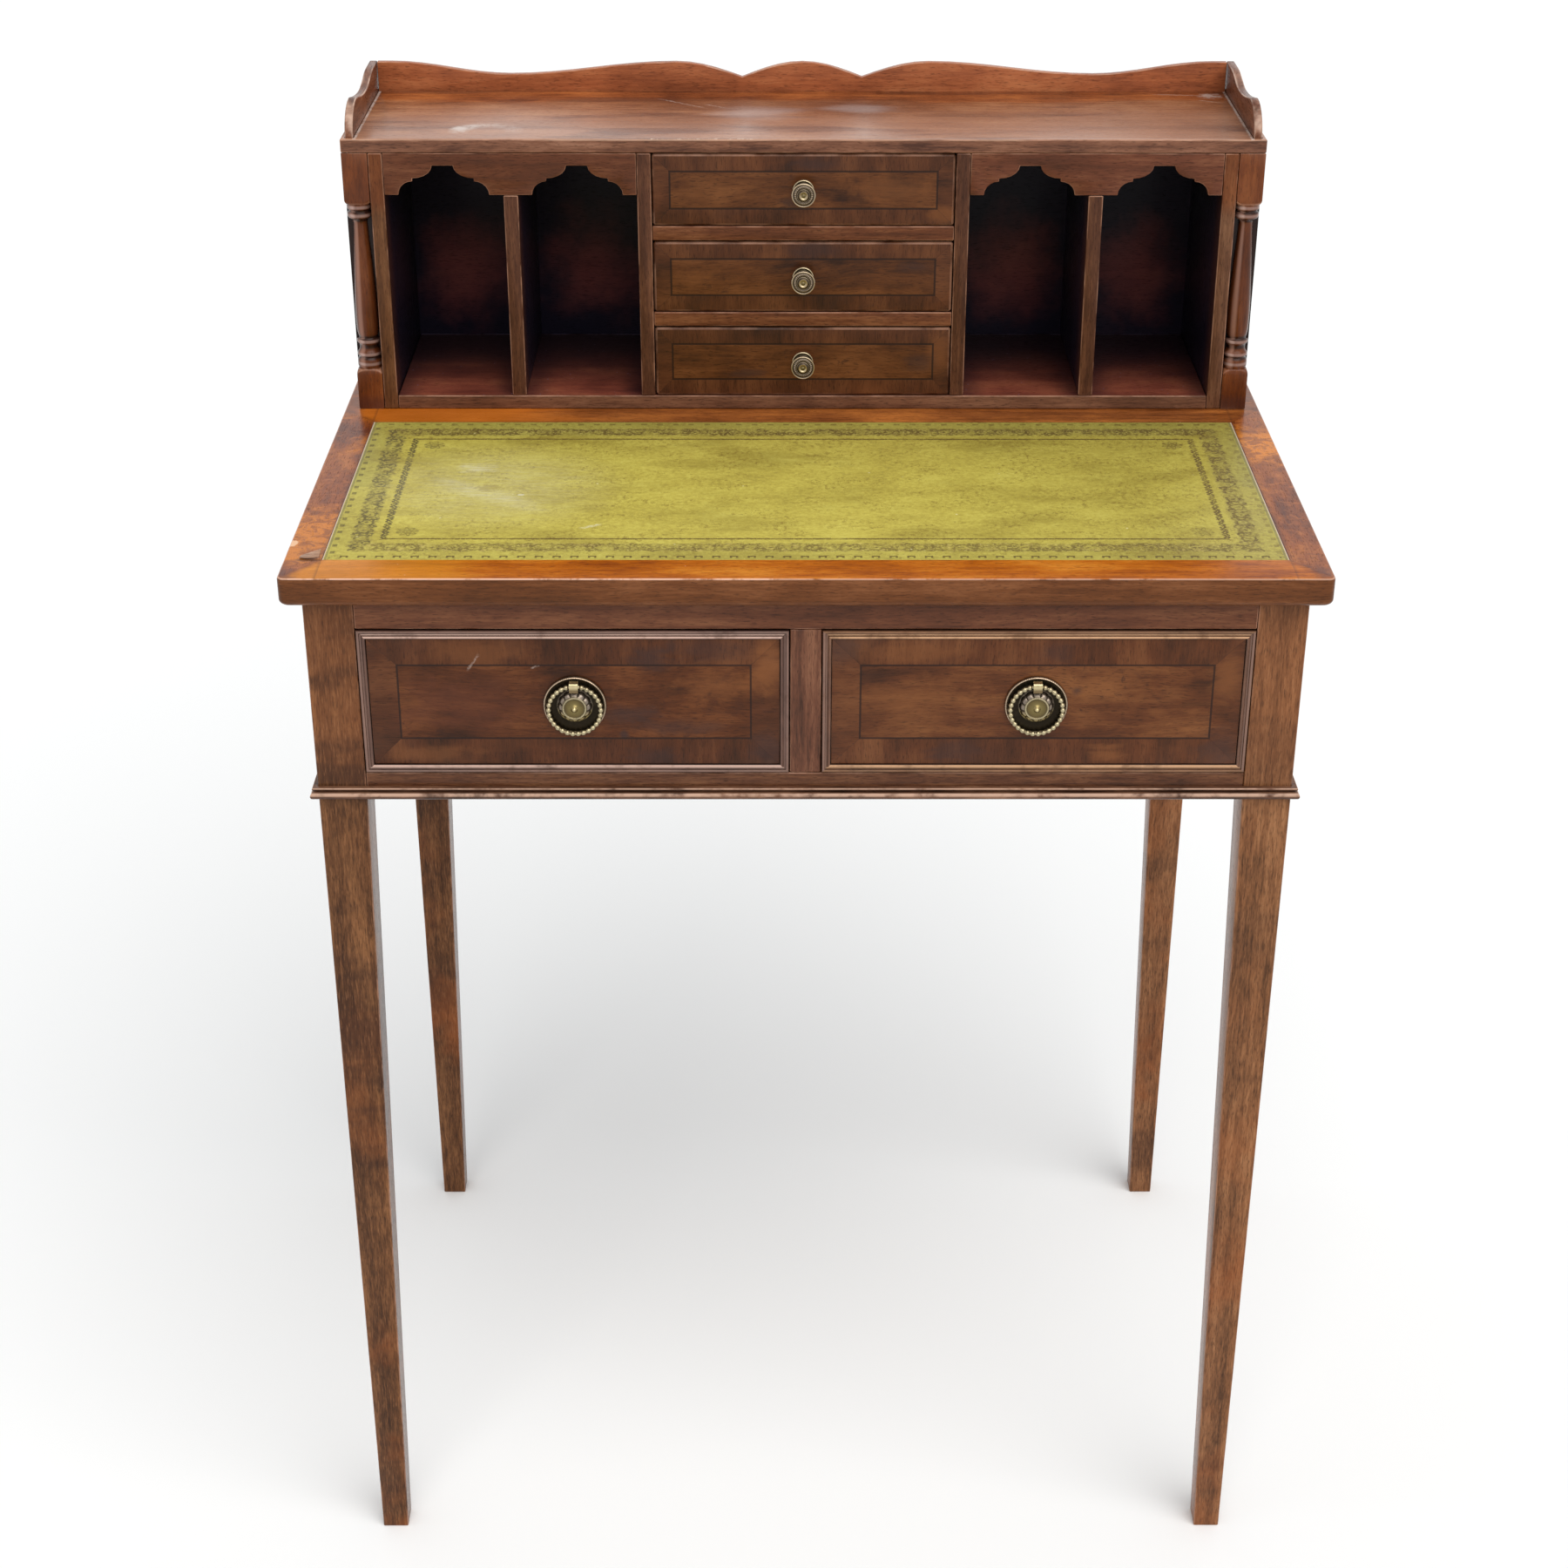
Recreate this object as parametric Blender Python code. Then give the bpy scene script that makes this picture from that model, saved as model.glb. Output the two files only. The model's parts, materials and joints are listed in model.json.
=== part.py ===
"""Lady's writing desk with a raised case of pigeonholes and small drawers.

The desk stands on the floor at Z = 0 and faces -Y. Its origin is under the middle of the desk top.
All lengths are in metres.
"""
from math import cos, pi, sin, sqrt

import bmesh
import bpy
from mathutils import Matrix, Vector

for old in list(bpy.data.objects):
    bpy.data.objects.remove(old, do_unlink=True)

# Table frame
desk_width = 0.635
desk_depth = 0.440
writing_height = 0.759
top_thickness = 0.019
top_overhang = 0.012
back_overhang = 0.002
frieze_height = 0.1354
leg_size = 0.0305
foot_size = 0.018
apron_thickness = 0.018
top_rail_height = 0.0197
bottom_rail_height = 0.0173
divider_width = 0.0192
runner_width = 0.020
guide_height = 0.016
kicker_width = 0.040
gap = 0.0003

# Edges and mouldings
arris = 0.0006
top_lower_round = 0.0045
top_upper_round = 0.0015
moulding_height = 0.008
moulding_projection = 0.0045

# Leather field
leather_side_border = 0.0232
leather_front_border = 0.0286
leather_back_border = 0.0260
leather_thickness = 0.0012
leather_ease = 0.00015

# Case of pigeonholes
case_depth = 0.1415
case_side_inset = 0.010
case_back_inset = 0.003
case_height = 0.188
case_top_thickness = 0.009
board = 0.0095
back_panel = 0.006
post_size = 0.0174
post_top_block = 0.0354
post_bottom_block = 0.0285
post_backing = 0.0078
centre_opening = 0.2036
partition_thickness = 0.0098
valance_height = 0.0284
valance_thickness = 0.008
small_rail_height = 0.0102

# Gallery
gallery_height = 0.0200
gallery_thickness = 0.0056
gallery_side_inset = 0.003
gallery_back_inset = 0.0025
gallery_front_inset = 0.004
gallery_housing = 0.0015

# Frieze drawers
drawer_clearance = 0.0006
drawer_end_space = 0.028
drawer_front_thickness = 0.017
drawer_side_thickness = 0.009
drawer_side_drop = 0.010
drawer_bottom_thickness = 0.005
drawer_bottom_lift = 0.008
groove_depth = 0.004
bead_depth = 0.006
bead_projection = 0.0013
reed_width = 0.0021
reed_groove = 0.0014

# Small drawers
small_end_space = 0.0095
small_front_thickness = 0.011
small_side_thickness = 0.005
small_bottom_thickness = 0.004
small_side_drop = 0.005
small_front_round = 0.0014

# Ring pulls
plate_radius = 0.0195
plate_thickness = 0.0016
ring_radius = 0.0161
ring_drop = 0.0020
ring_bead_radius = 0.00175
ring_neck_radius = 0.0011
ring_wire_radius = 0.0012
bead_count = 24
lug_width = 0.0055
lug_wall = 0.0017
lug_clearance = 0.0005
boss_radius = 0.0106
boss_height = 0.0090
petal_count = 12
pull_drop = 0.0015

# Knobs
knob_radius = 0.0081
knob_length = 0.0150

# Outlines as shares of a piece's own radius and height
column_radius = 0.0086
column_shares = (
    (0.98, 1.000), (0.98, 0.972), (0.86, 0.960), (0.86, 0.953), (0.96, 0.944), (0.97, 0.930), (0.88, 0.914),
    (0.62, 0.902), (0.55, 0.880), (0.62, 0.780), (0.72, 0.660), (0.83, 0.500), (0.89, 0.380), (0.90, 0.290),
    (0.87, 0.220), (0.75, 0.184), (0.92, 0.174), (0.94, 0.160), (0.84, 0.150), (0.78, 0.128), (0.84, 0.104),
    (0.96, 0.090), (0.96, 0.078), (0.87, 0.068), (0.94, 0.052), (1.00, 0.036), (1.00, 0.014), (0.95, 0.000),
)
knob_shares = (
    (0.88, 0.00), (0.90, 0.07), (0.82, 0.12), (0.46, 0.16), (0.37, 0.24), (0.38, 0.50), (0.60, 0.66),
    (0.97, 0.78), (1.00, 0.84), (0.98, 0.89), (0.86, 0.90), (0.76, 0.93), (0.60, 0.93), (0.50, 0.91),
    (0.42, 0.98), (0.0, 1.00),
)
boss_shares = (
    (1.00, 0.00), (0.99, 0.20), (0.94, 0.33), (0.85, 0.42), (0.76, 0.45), (0.74, 0.54),
    (0.67, 0.58), (0.60, 0.55), (0.56, 0.62), (0.40, 0.74), (0.22, 0.83), (0.13, 0.87),
    (0.11, 0.95), (0.0, 1.00),
)
petal_depth_share = 0.07
petal_start_share = 0.75
petal_end_share = 0.995
rim_width_share = 0.07
rim_height_share = 0.60
lower_bead_share = 0.50
upper_bead_share = 0.18
upper_reach_share = 0.38
hollow_root_share = 0.12

# An arch as shares of its pigeonhole's width, then of its own half width and of the valance's height
arch_half_share = 0.381
arch_step_share = 0.323
arch_flat_share = 0.231
arch_shoulder_share = 0.324
arch_step_rise_share = 0.070
arch_rise_share = 0.697

# The gallery's outline as shares of its half length, of its side's length and of its height
lobe_cusp_share = 0.141
lobe_peak_share = 0.297
wave_low_share = 0.686
wave_high_share = 0.967
cusp_height_share = 0.475
low_height_share = 0.574
ear_length_share = 0.20
scoop_length_share = 0.348
scoop_fall_share = 0.296
scoop_height_share = 0.70

# Numbers of steps
column_steps = 24
knob_steps = 24
plate_steps_per_petal = 4
bore_steps = 16
wire_sides = 8
steps_per_bead = 4
arc_steps = 5
small_arc_steps = 3
round_steps = 4
ear_steps = 7
lobe_steps = 5
wave_steps = 8
tiny = 0.00001

# Finishes as shares
polished_share = 0.25
wax_share = 0.32
dull_share = 0.50
bare_share = 0.60
brass_share = 0.36

# Places worked out from the driving dimensions
half_width = desk_width / 2
top_front = -desk_depth / 2
top_back = desk_depth / 2
frame_half = half_width - top_overhang
frame_front = top_front + top_overhang
frame_back = top_back - back_overhang
top_underside = writing_height - top_thickness
frieze_bottom = top_underside - frieze_height
leg_inner = frame_half - leg_size
leg_front_back = frame_front + leg_size
leg_back_front = frame_back - leg_size
apron_inner = frame_half - apron_thickness
back_apron_front = frame_back - apron_thickness
opening_bottom = frieze_bottom + bottom_rail_height
opening_top = top_underside - top_rail_height
divider_half = divider_width / 2
drawer_centre = (leg_inner + divider_half) / 2
drawer_half = (leg_inner - divider_half) / 2 - drawer_clearance
drawer_low = opening_bottom + drawer_clearance
drawer_high = opening_top - drawer_clearance
pull_height = (drawer_low + drawer_high) / 2 - pull_drop
ring_height = pull_height + ring_radius - ring_drop

case_back = top_back - case_back_inset
case_front = case_back - case_depth
case_half = half_width - case_side_inset
case_bottom = writing_height + gap
case_top_high = writing_height + case_height
case_top_low = case_top_high - case_top_thickness
post_inner = case_half - post_size
back_panel_front = case_back - back_panel
floor_high = case_bottom + board
pigeon_outer = post_inner - gap - board
centre_outer = centre_opening / 2 + board
partition_middle = (pigeon_outer + centre_outer) / 2
small_pitch = (case_top_low - floor_high + small_rail_height) / 3
small_height = small_pitch - small_rail_height
pigeonhole_width = (pigeon_outer - centre_outer - partition_thickness) / 2

drawer_end = back_apron_front - drawer_end_space
small_drawer_end = back_panel_front - small_end_space
bead_width = 2 * reed_width + reed_groove
ring_standoff = plate_thickness * (1 + rim_height_share) + ring_bead_radius + gap


# Finishes

def finish(name, colour, roughness, metallic=0.0):
    material = bpy.data.materials.new(name)
    material.use_nodes = True
    shader = material.node_tree.nodes["Principled BSDF"]
    shader.inputs["Base Color"].default_value = (*colour, 1.0)
    shader.inputs["Roughness"].default_value = roughness
    shader.inputs["Metallic"].default_value = metallic
    return material


def wood(name, colour, roughness=wax_share):
    return finish(name, colour, roughness)


frame_brown = (0.120, 0.055, 0.026)
case_brown = (0.130, 0.052, 0.024)
gallery_brown = (0.190, 0.062, 0.026)
inside_brown = (0.045, 0.012, 0.007)
front_brown = (0.140, 0.058, 0.026)
pale_wood = (0.330, 0.190, 0.095)
aged_brass = (0.300, 0.230, 0.110)
olive_leather = (0.300, 0.270, 0.045)


# Forms

def placed(name, form, material, smooth=False):
    """Makes an object of a finished bmesh."""
    bmesh.ops.recalc_face_normals(form, faces=form.faces)
    mesh = bpy.data.meshes.new(name)
    form.to_mesh(mesh)
    form.free()
    mesh.materials.append(material)
    if smooth:
        mesh.shade_smooth()
        mesh.set_sharp_from_angle(angle=pi / 5)
    piece = bpy.data.objects.new(name, mesh)
    bpy.context.scene.collection.objects.link(piece)
    return piece


def lofted(name, sections, material, smooth=False):
    """Joins rings of points, each with as many points as the next, and closes both ends."""
    form = bmesh.new()
    rings = [[form.verts.new(point) for point in ring] for ring in sections]
    for lower, upper in zip(rings, rings[1:]):
        for i in range(len(lower)):
            j = (i + 1) % len(lower)
            form.faces.new((lower[i], lower[j], upper[j], upper[i]))
    form.faces.new(list(reversed(rings[0])))
    form.faces.new(rings[-1])
    return placed(name, form, material, smooth)


def rectangle(left, right, front, back, height):
    return [(left, front, height), (right, front, height), (right, back, height), (left, back, height)]


def chamfered(piece, width):
    """Eases every edge of a board by one narrow flat."""
    edge = piece.modifiers.new("Arris", "BEVEL")
    edge.width = width
    edge.segments = 1
    edge.limit_method = "ANGLE"
    return piece


def plank(name, low, high, material, ease=arris):
    """A square-edged board between two opposite corners, with eased edges."""
    sections = [rectangle(low[0], high[0], low[1], high[1], height) for height in (low[2], high[2])]
    return chamfered(lofted(name, sections, material), ease)


def extruded(name, outline, axis, start, end, material, smooth=False):
    """Extrudes a flat outline along X, Y or Z. The outline's two numbers are the other two axes, in order."""
    def point(pair, depth):
        values = list(pair)
        values.insert("XYZ".index(axis), depth)
        return tuple(values)

    sections = [[point(pair, depth) for pair in outline] for depth in (start, end)]
    return lofted(name, sections, material, smooth)


def turned(name, profile, steps, material, ripple=None):
    """Spins a half profile of (radius, height) about Z. A ripple gives the radius its petals."""
    form = bmesh.new()
    points = [form.verts.new((radius, 0.0, height)) for radius, height in profile]
    edges = [form.edges.new(pair) for pair in zip(points, points[1:])]
    bmesh.ops.spin(
        form, geom=points + edges, cent=(0, 0, 0), axis=(0, 0, 1), angle=2 * pi, steps=steps, use_merge=True
    )
    bmesh.ops.remove_doubles(form, verts=form.verts, dist=tiny)
    if ripple:
        for vertex in form.verts:
            factor = ripple(vertex.co)
            vertex.co.x *= factor
            vertex.co.y *= factor
    return placed(name, form, material, smooth=True)


def arc(centre, radius_across, radius_up, start, end, steps=arc_steps):
    """Points on part of an ellipse, from one angle to another."""
    angles = [start + (end - start) * i / steps for i in range(steps + 1)]
    return [(centre[0] + radius_across * cos(a), centre[1] + radius_up * sin(a)) for a in angles]


def cutter(piece):
    piece.hide_render = True
    piece.display_type = "WIRE"
    return piece


def combined(piece, other, operation):
    """Adds a Boolean with another shape, which stays as a hidden guide."""
    change = piece.modifiers.new(operation.title(), "BOOLEAN")
    change.operation = operation
    change.solver = "EXACT"
    change.object = cutter(other)
    return piece


def facing_front(piece, location):
    """Turns a piece spun about Z so that its axis points out of the front."""
    piece.rotation_euler = (pi / 2, 0.0, 0.0)
    piece.location = location
    return piece


def on_slide(name, location, build):
    """Parents all that build() makes to an empty on the slide's axis."""
    earlier = set(bpy.data.objects)
    build()
    made = [piece for piece in bpy.data.objects if piece not in earlier]
    handle = bpy.data.objects.new(name, None)
    bpy.context.scene.collection.objects.link(handle)
    handle.location = location
    for piece in made:
        piece.parent = handle
        piece.matrix_parent_inverse = Matrix.Translation(-Vector(location))


# Table frame

def leg(name, side, front):
    """A square leg whose two inner faces taper from under the frieze to the foot."""
    outer = side * frame_half
    face = frame_front if front else frame_back
    inward = 1 if front else -1
    sections = []
    for height, size in ((0.0, foot_size), (frieze_bottom - gap, leg_size), (top_underside - gap, leg_size)):
        across = sorted((outer, outer - side * size))
        along = sorted((face, face + inward * size))
        sections.append(rectangle(*across, *along, height))
    return chamfered(lofted(name, sections, wood("leg_wood_" + name, frame_brown)), arris)


def table_frame():
    for side, word in ((-1, "left"), (1, "right")):
        leg("leg_front_" + word, side, True)
        leg("leg_back_" + word, side, False)
        across = sorted((side * apron_inner, side * frame_half))
        plank(
            "side_apron_" + word,
            (across[0], leg_front_back + gap, frieze_bottom),
            (across[1], leg_back_front - gap, top_underside - gap),
            wood("apron_wood_" + word, frame_brown),
        )
    rail_half = leg_inner - gap
    plank(
        "front_top_rail",
        (-rail_half, frame_front, opening_top),
        (rail_half, leg_front_back, top_underside - gap),
        wood("top_rail_wood", frame_brown),
    )
    plank(
        "front_bottom_rail",
        (-rail_half, frame_front, frieze_bottom),
        (rail_half, leg_front_back, opening_bottom),
        wood("bottom_rail_wood", frame_brown),
    )
    plank(
        "drawer_divider",
        (-divider_half, frame_front, opening_bottom + gap),
        (divider_half, leg_front_back, opening_top - gap),
        wood("divider_wood", frame_brown),
    )
    plank(
        "back_apron",
        (-rail_half, back_apron_front, frieze_bottom),
        (rail_half, frame_back, top_underside - gap),
        wood("back_apron_wood", frame_brown),
    )


def base_moulding():
    """A bead, a hollow and a thicker bead under the frieze, mitred round the front corners."""
    lower = moulding_height * lower_bead_share / 2
    upper = moulding_height * upper_bead_share / 2
    hollow_high = moulding_height - 2 * upper
    reach = moulding_projection * upper_reach_share
    root = moulding_projection * hollow_root_share
    section = [(0.0, 0.0)]
    section += arc((moulding_projection - lower, lower), lower, lower, -pi / 2, pi / 2)
    section += arc((reach, 2 * lower), reach - root, hollow_high - 2 * lower, pi, pi / 2, small_arc_steps)
    section += arc((reach, moulding_height - upper), upper, upper, -pi / 2, pi / 2, small_arc_steps)[1:]
    section.append((0.0, moulding_height))
    sections = []
    for corner_x, corner_y, along_x, along_y in (
        (-frame_half, frame_back, -1, 0), (-frame_half, frame_front, -1, -1),
        (frame_half, frame_front, 1, -1), (frame_half, frame_back, 1, 0),
    ):
        ring = []
        for distance, height in section:
            out = distance + gap
            ring.append((corner_x + along_x * out, corner_y + along_y * out, frieze_bottom + height))
        sections.append(ring)
    lofted("base_moulding", sections, wood("moulding_wood", frame_brown), smooth=True)


def drawer_supports():
    """Side runners with a guide strip, one runner shared by both drawers, and a kicker above it."""
    low = frieze_bottom
    guide_high = opening_bottom + guide_height
    start = leg_front_back + gap
    end = back_apron_front - gap
    for side, word in ((-1, "left"), (1, "right")):
        outline = [
            (apron_inner - gap, low), (apron_inner - gap, guide_high), (leg_inner + gap, guide_high),
            (leg_inner + gap, opening_bottom), (leg_inner - runner_width, opening_bottom),
            (leg_inner - runner_width, low),
        ]
        mirrored = [(side * across, height) for across, height in outline]
        extruded(
            "drawer_runner_" + word, mirrored, "Y", start, leg_back_front - gap,
            wood("runner_wood_" + word, pale_wood, bare_share),
        )
    half = divider_half + runner_width
    stem = divider_half - gap
    outline = [
        (-half, low), (half, low), (half, opening_bottom), (stem, opening_bottom), (stem, guide_high),
        (-stem, guide_high), (-stem, opening_bottom), (-half, opening_bottom),
    ]
    extruded(
        "drawer_runner_centre", outline, "Y", start, end, wood("runner_wood_centre", pale_wood, bare_share)
    )
    plank(
        "drawer_kicker",
        (-kicker_width / 2, start, opening_top),
        (kicker_width / 2, end, top_underside - gap),
        wood("kicker_wood", pale_wood, bare_share),
    )


# Writing surface

leather_left = -half_width + leather_side_border
leather_front = top_front + leather_front_border
leather_back = case_front - leather_back_border


def desk_top():
    """A board with a rounded edge, sunk in the middle for the leather."""
    lower = (top_lower_round, top_lower_round)
    edge = arc(lower, top_lower_round, top_lower_round, -pi / 2, -pi, round_steps)
    upper = (top_upper_round, top_thickness - top_upper_round)
    edge += arc(upper, top_upper_round, top_upper_round, pi, pi / 2, small_arc_steps)
    sections = []
    for inset, height in edge:
        half = half_width - inset
        sections.append(rectangle(-half, half, top_front + inset, top_back - inset, top_underside + height))
    piece = lofted("desk_top", sections, wood("top_wood", case_brown, polished_share), smooth=True)
    floor = writing_height - leather_thickness - gap
    sunk = [
        rectangle(leather_left, -leather_left, leather_front, leather_back, height)
        for height in (floor, writing_height + top_thickness)
    ]
    combined(piece, lofted("leather_recess", sunk, wood("recess", case_brown)), "DIFFERENCE")
    plank(
        "leather_inset",
        (leather_left + gap, leather_front + gap, floor + gap),
        (-leather_left - gap, leather_back - gap, writing_height),
        finish("olive_leather", olive_leather, dull_share),
        leather_ease,
    )


# Case of pigeonholes

def corner_post(word, side):
    """Square blocks above and below a turned column that stands out from a flat backing, all one piece of wood."""
    centre_x = side * (case_half - post_size / 2)
    centre_y = case_front + post_size / 2
    column_low = case_bottom + post_bottom_block
    column_high = case_top_low - gap - post_top_block
    length = column_high - column_low
    profile = [(0.0, column_high + arris)]
    profile += [(radius * column_radius, column_low + share * length) for radius, share in column_shares]
    profile.append((0.0, column_low - arris))
    material = wood("post_wood_" + word, gallery_brown)
    post = turned("corner_post_" + word, profile, column_steps, material)
    post.location = (centre_x, centre_y, 0.0)
    half = post_size / 2
    post_back = centre_y + half
    for name, front, low, high in (
        ("post_backing_" + word, post_back - post_backing, column_low - arris, column_high + arris),
        ("post_block_bottom_" + word, case_front, case_bottom, column_low),
        ("post_block_top_" + word, case_front, column_high, case_top_low - gap),
    ):
        block = plank(name, (centre_x - half, front, low), (centre_x + half, post_back, high), material)
        combined(post, block, "UNION")
    return post


def case_carcass():
    for side, word in ((-1, "left"), (1, "right")):
        corner_post(word, side)
        outer = sorted((side * case_half, side * post_inner))
        plank(
            "end_panel_" + word,
            (outer[0], case_front + post_size + gap, case_bottom),
            (outer[1], case_back, case_top_low - gap),
            wood("end_wood_" + word, case_brown),
        )
        inner = sorted((side * (post_inner - gap), side * pigeon_outer))
        plank(
            "inner_upright_" + word,
            (inner[0], case_front, case_bottom),
            (inner[1], back_panel_front - gap, case_top_low - gap),
            wood("upright_wood_" + word, case_brown),
        )
        centre = sorted((side * centre_outer, side * (centre_outer - board)))
        plank(
            "centre_upright_" + word,
            (centre[0], case_front, floor_high + gap),
            (centre[1], back_panel_front - gap, case_top_low - gap),
            wood("centre_wood_" + word, case_brown),
        )
        middle = side * partition_middle
        plank(
            "partition_" + word,
            (middle - partition_thickness / 2, case_front, floor_high + gap),
            (middle + partition_thickness / 2, back_panel_front - gap, case_top_low - valance_height - gap),
            wood("partition_wood_" + word, case_brown),
        )
        valance(word, side)
    plank(
        "case_base",
        (-pigeon_outer + gap, case_front, case_bottom),
        (pigeon_outer - gap, back_panel_front - gap, floor_high),
        wood("case_base_wood", case_brown),
    )
    plank(
        "case_back",
        (-post_inner + gap, back_panel_front, case_bottom),
        (post_inner - gap, case_back, case_top_low - gap),
        wood("case_back_wood", inside_brown, dull_share),
    )
    board_top = plank(
        "case_top",
        (-case_half, case_front, case_top_low),
        (case_half, case_back, case_top_high),
        wood("case_top_wood", case_brown, polished_share),
    )
    combined(board_top, gallery_groove(), "DIFFERENCE")


def half_arch():
    """From the foot of the arch up to its flat top: a round shoulder, a step, and a hollow."""
    half = pigeonhole_width * arch_half_share
    step = half * arch_step_share
    shoulder_end = half - step
    shoulder_high = valance_height * arch_shoulder_share
    step_high = shoulder_high + valance_height * arch_step_rise_share
    rise = valance_height * arch_rise_share
    lower = arc((shoulder_end, 0.0), step, shoulder_high, 0.0, pi / 2)
    upper = arc((shoulder_end, rise), shoulder_end - half * arch_flat_share, rise - step_high, -pi / 2, -pi)
    return lower + upper


def valance(word, side):
    """A board hung under the case top, with an arch over each of two pigeonholes."""
    low = case_top_low - valance_height
    left, right = sorted((side * (pigeon_outer - gap), side * (centre_outer + gap)))
    offset = (pigeonhole_width + partition_thickness) / 2
    outline = [(right, low), (right, case_top_low - gap), (left, case_top_low - gap), (left, low)]
    for centre in (side * partition_middle - offset, side * partition_middle + offset):
        rise = half_arch()
        outline += [(centre - across, low + up) for across, up in rise]
        outline += [(centre + across, low + up) for across, up in reversed(rise)]
    extruded(
        "valance_" + word, outline, "Y", case_front, case_front + valance_thickness,
        wood("valance_wood_" + word, case_brown),
    )


# Gallery

gallery_outer = case_half - gallery_side_inset
gallery_inner = gallery_outer - gallery_thickness
gallery_back = case_back - gallery_back_inset
gallery_front = case_front + gallery_front_inset
gallery_base = case_top_high + gap


def gallery_groove():
    """A shallow groove round three sides of the case top, in which the gallery stands."""
    outer = gallery_outer + gap
    inner = gallery_inner - gap
    front = gallery_front - gap
    inner_back = gallery_back - gallery_thickness - gap
    outline = [
        (-outer, front), (-inner, front), (-inner, inner_back), (inner, inner_back), (inner, front),
        (outer, front), (outer, gallery_back + gap), (-outer, gallery_back + gap),
    ]
    low = case_top_high - gallery_housing
    return extruded("gallery_groove", outline, "Z", low, gallery_base, wood("groove", case_brown))


def swell(start, end, steps=wave_steps):
    """An S-shaped run between two points, level at both."""
    return run(start, end, steps, lambda share: (1 - cos(pi * share)) / 2)


def lobe(peak, cusp, steps=lobe_steps):
    """A rounded run from a level peak down to a cusp, steepest there."""
    return run(peak, cusp, steps, lambda share: 1 - cos(pi / 2 * share))


def run(start, end, steps, ease):
    """Points between two places, even along the first axis and eased along the second."""
    across, up = end[0] - start[0], end[1] - start[1]
    shares = [i / steps for i in range(steps + 1)]
    return [(start[0] + across * share, start[1] + up * ease(share)) for share in shares]


def gallery():
    half = gallery_inner - gap
    peak = (half * lobe_peak_share, gallery_height)
    cusp = (half * lobe_cusp_share, gallery_height * cusp_height_share)
    low = (half * wave_low_share, gallery_height * low_height_share)
    right = lobe((0.0, gallery_height), cusp)
    right += list(reversed(lobe(peak, cusp)))[1:]
    right += swell(peak, low)[1:]
    right += swell(low, (half * wave_high_share, gallery_height))[1:]
    right.append((half, gallery_height))
    outline = right + [(half, -gallery_housing)]
    outline += [(-across, height) for across, height in reversed(outline[1:])]
    raised = [(across, gallery_base + height) for across, height in outline]
    extruded(
        "gallery_back", raised, "Y", gallery_back - gallery_thickness, gallery_back,
        wood("gallery_wood_back", gallery_brown),
    )
    length = gallery_back - gallery_front
    ear_length = length * ear_length_share
    ear_back = gallery_front + ear_length
    scoop = (ear_back + length * scoop_length_share, gallery_height * scoop_height_share)
    scoop_end = (scoop[0] + length * scoop_fall_share, gallery_height)
    side_outline = [(gallery_back, -gallery_housing), (gallery_back, gallery_height)]
    side_outline += swell(scoop_end, scoop)
    side_outline += lobe(scoop, (ear_back, gallery_height))[1:]
    side_outline += arc((ear_back, 0.0), ear_length, gallery_height, pi / 2, pi, ear_steps)[1:]
    side_outline.append((gallery_front, -gallery_housing))
    raised = [(along, gallery_base + height) for along, height in side_outline]
    for side, word in ((-1, "left"), (1, "right")):
        across = sorted((side * gallery_inner, side * gallery_outer))
        extruded("gallery_side_" + word, raised, "X", *across, wood("gallery_wood_" + word, gallery_brown))


# Frieze drawers

def drawer_front(word, left, right):
    """A board rebated all round its face for the cock bead."""
    face = frame_front
    rebate = bead_width + gap
    sections = []
    for depth, inset in (
        (0.0, rebate), (bead_depth + gap, rebate), (bead_depth + gap, 0.0), (drawer_front_thickness, 0.0)
    ):
        low, high = drawer_low + inset, drawer_high - inset
        sections.append([
            (left + inset, face + depth, low), (right - inset, face + depth, low),
            (right - inset, face + depth, high), (left + inset, face + depth, high),
        ])
    return lofted("drawer_front_" + word, sections, wood("drawer_front_wood_" + word, front_brown))


def cock_bead(word, left, right):
    """A mitred frame of two fine reeds with a groove between, set in the rebate round the drawer front."""
    radius = reed_width / 2
    section = [(0.0, bead_depth)]
    for centre in (radius, bead_width - radius):
        section += arc((centre, 0.0), radius, -bead_projection, pi, 0.0, round_steps)
    section.append((bead_width, bead_depth))
    form = bmesh.new()
    rings = []
    for inset, depth in section:
        low, high = drawer_low + inset, drawer_high - inset
        y = frame_front + depth
        corners = (
            (left + inset, y, low), (right - inset, y, low), (right - inset, y, high), (left + inset, y, high)
        )
        rings.append([form.verts.new(corner) for corner in corners])
    for ring, following in zip(rings, rings[1:] + rings[:1]):
        for i in range(4):
            j = (i + 1) % 4
            form.faces.new((ring[i], ring[j], following[j], following[i]))
    bmesh.ops.remove_doubles(form, verts=form.verts, dist=tiny)
    return placed("cock_bead_" + word, form, wood("cock_bead_wood_" + word, frame_brown), smooth=True)


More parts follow.
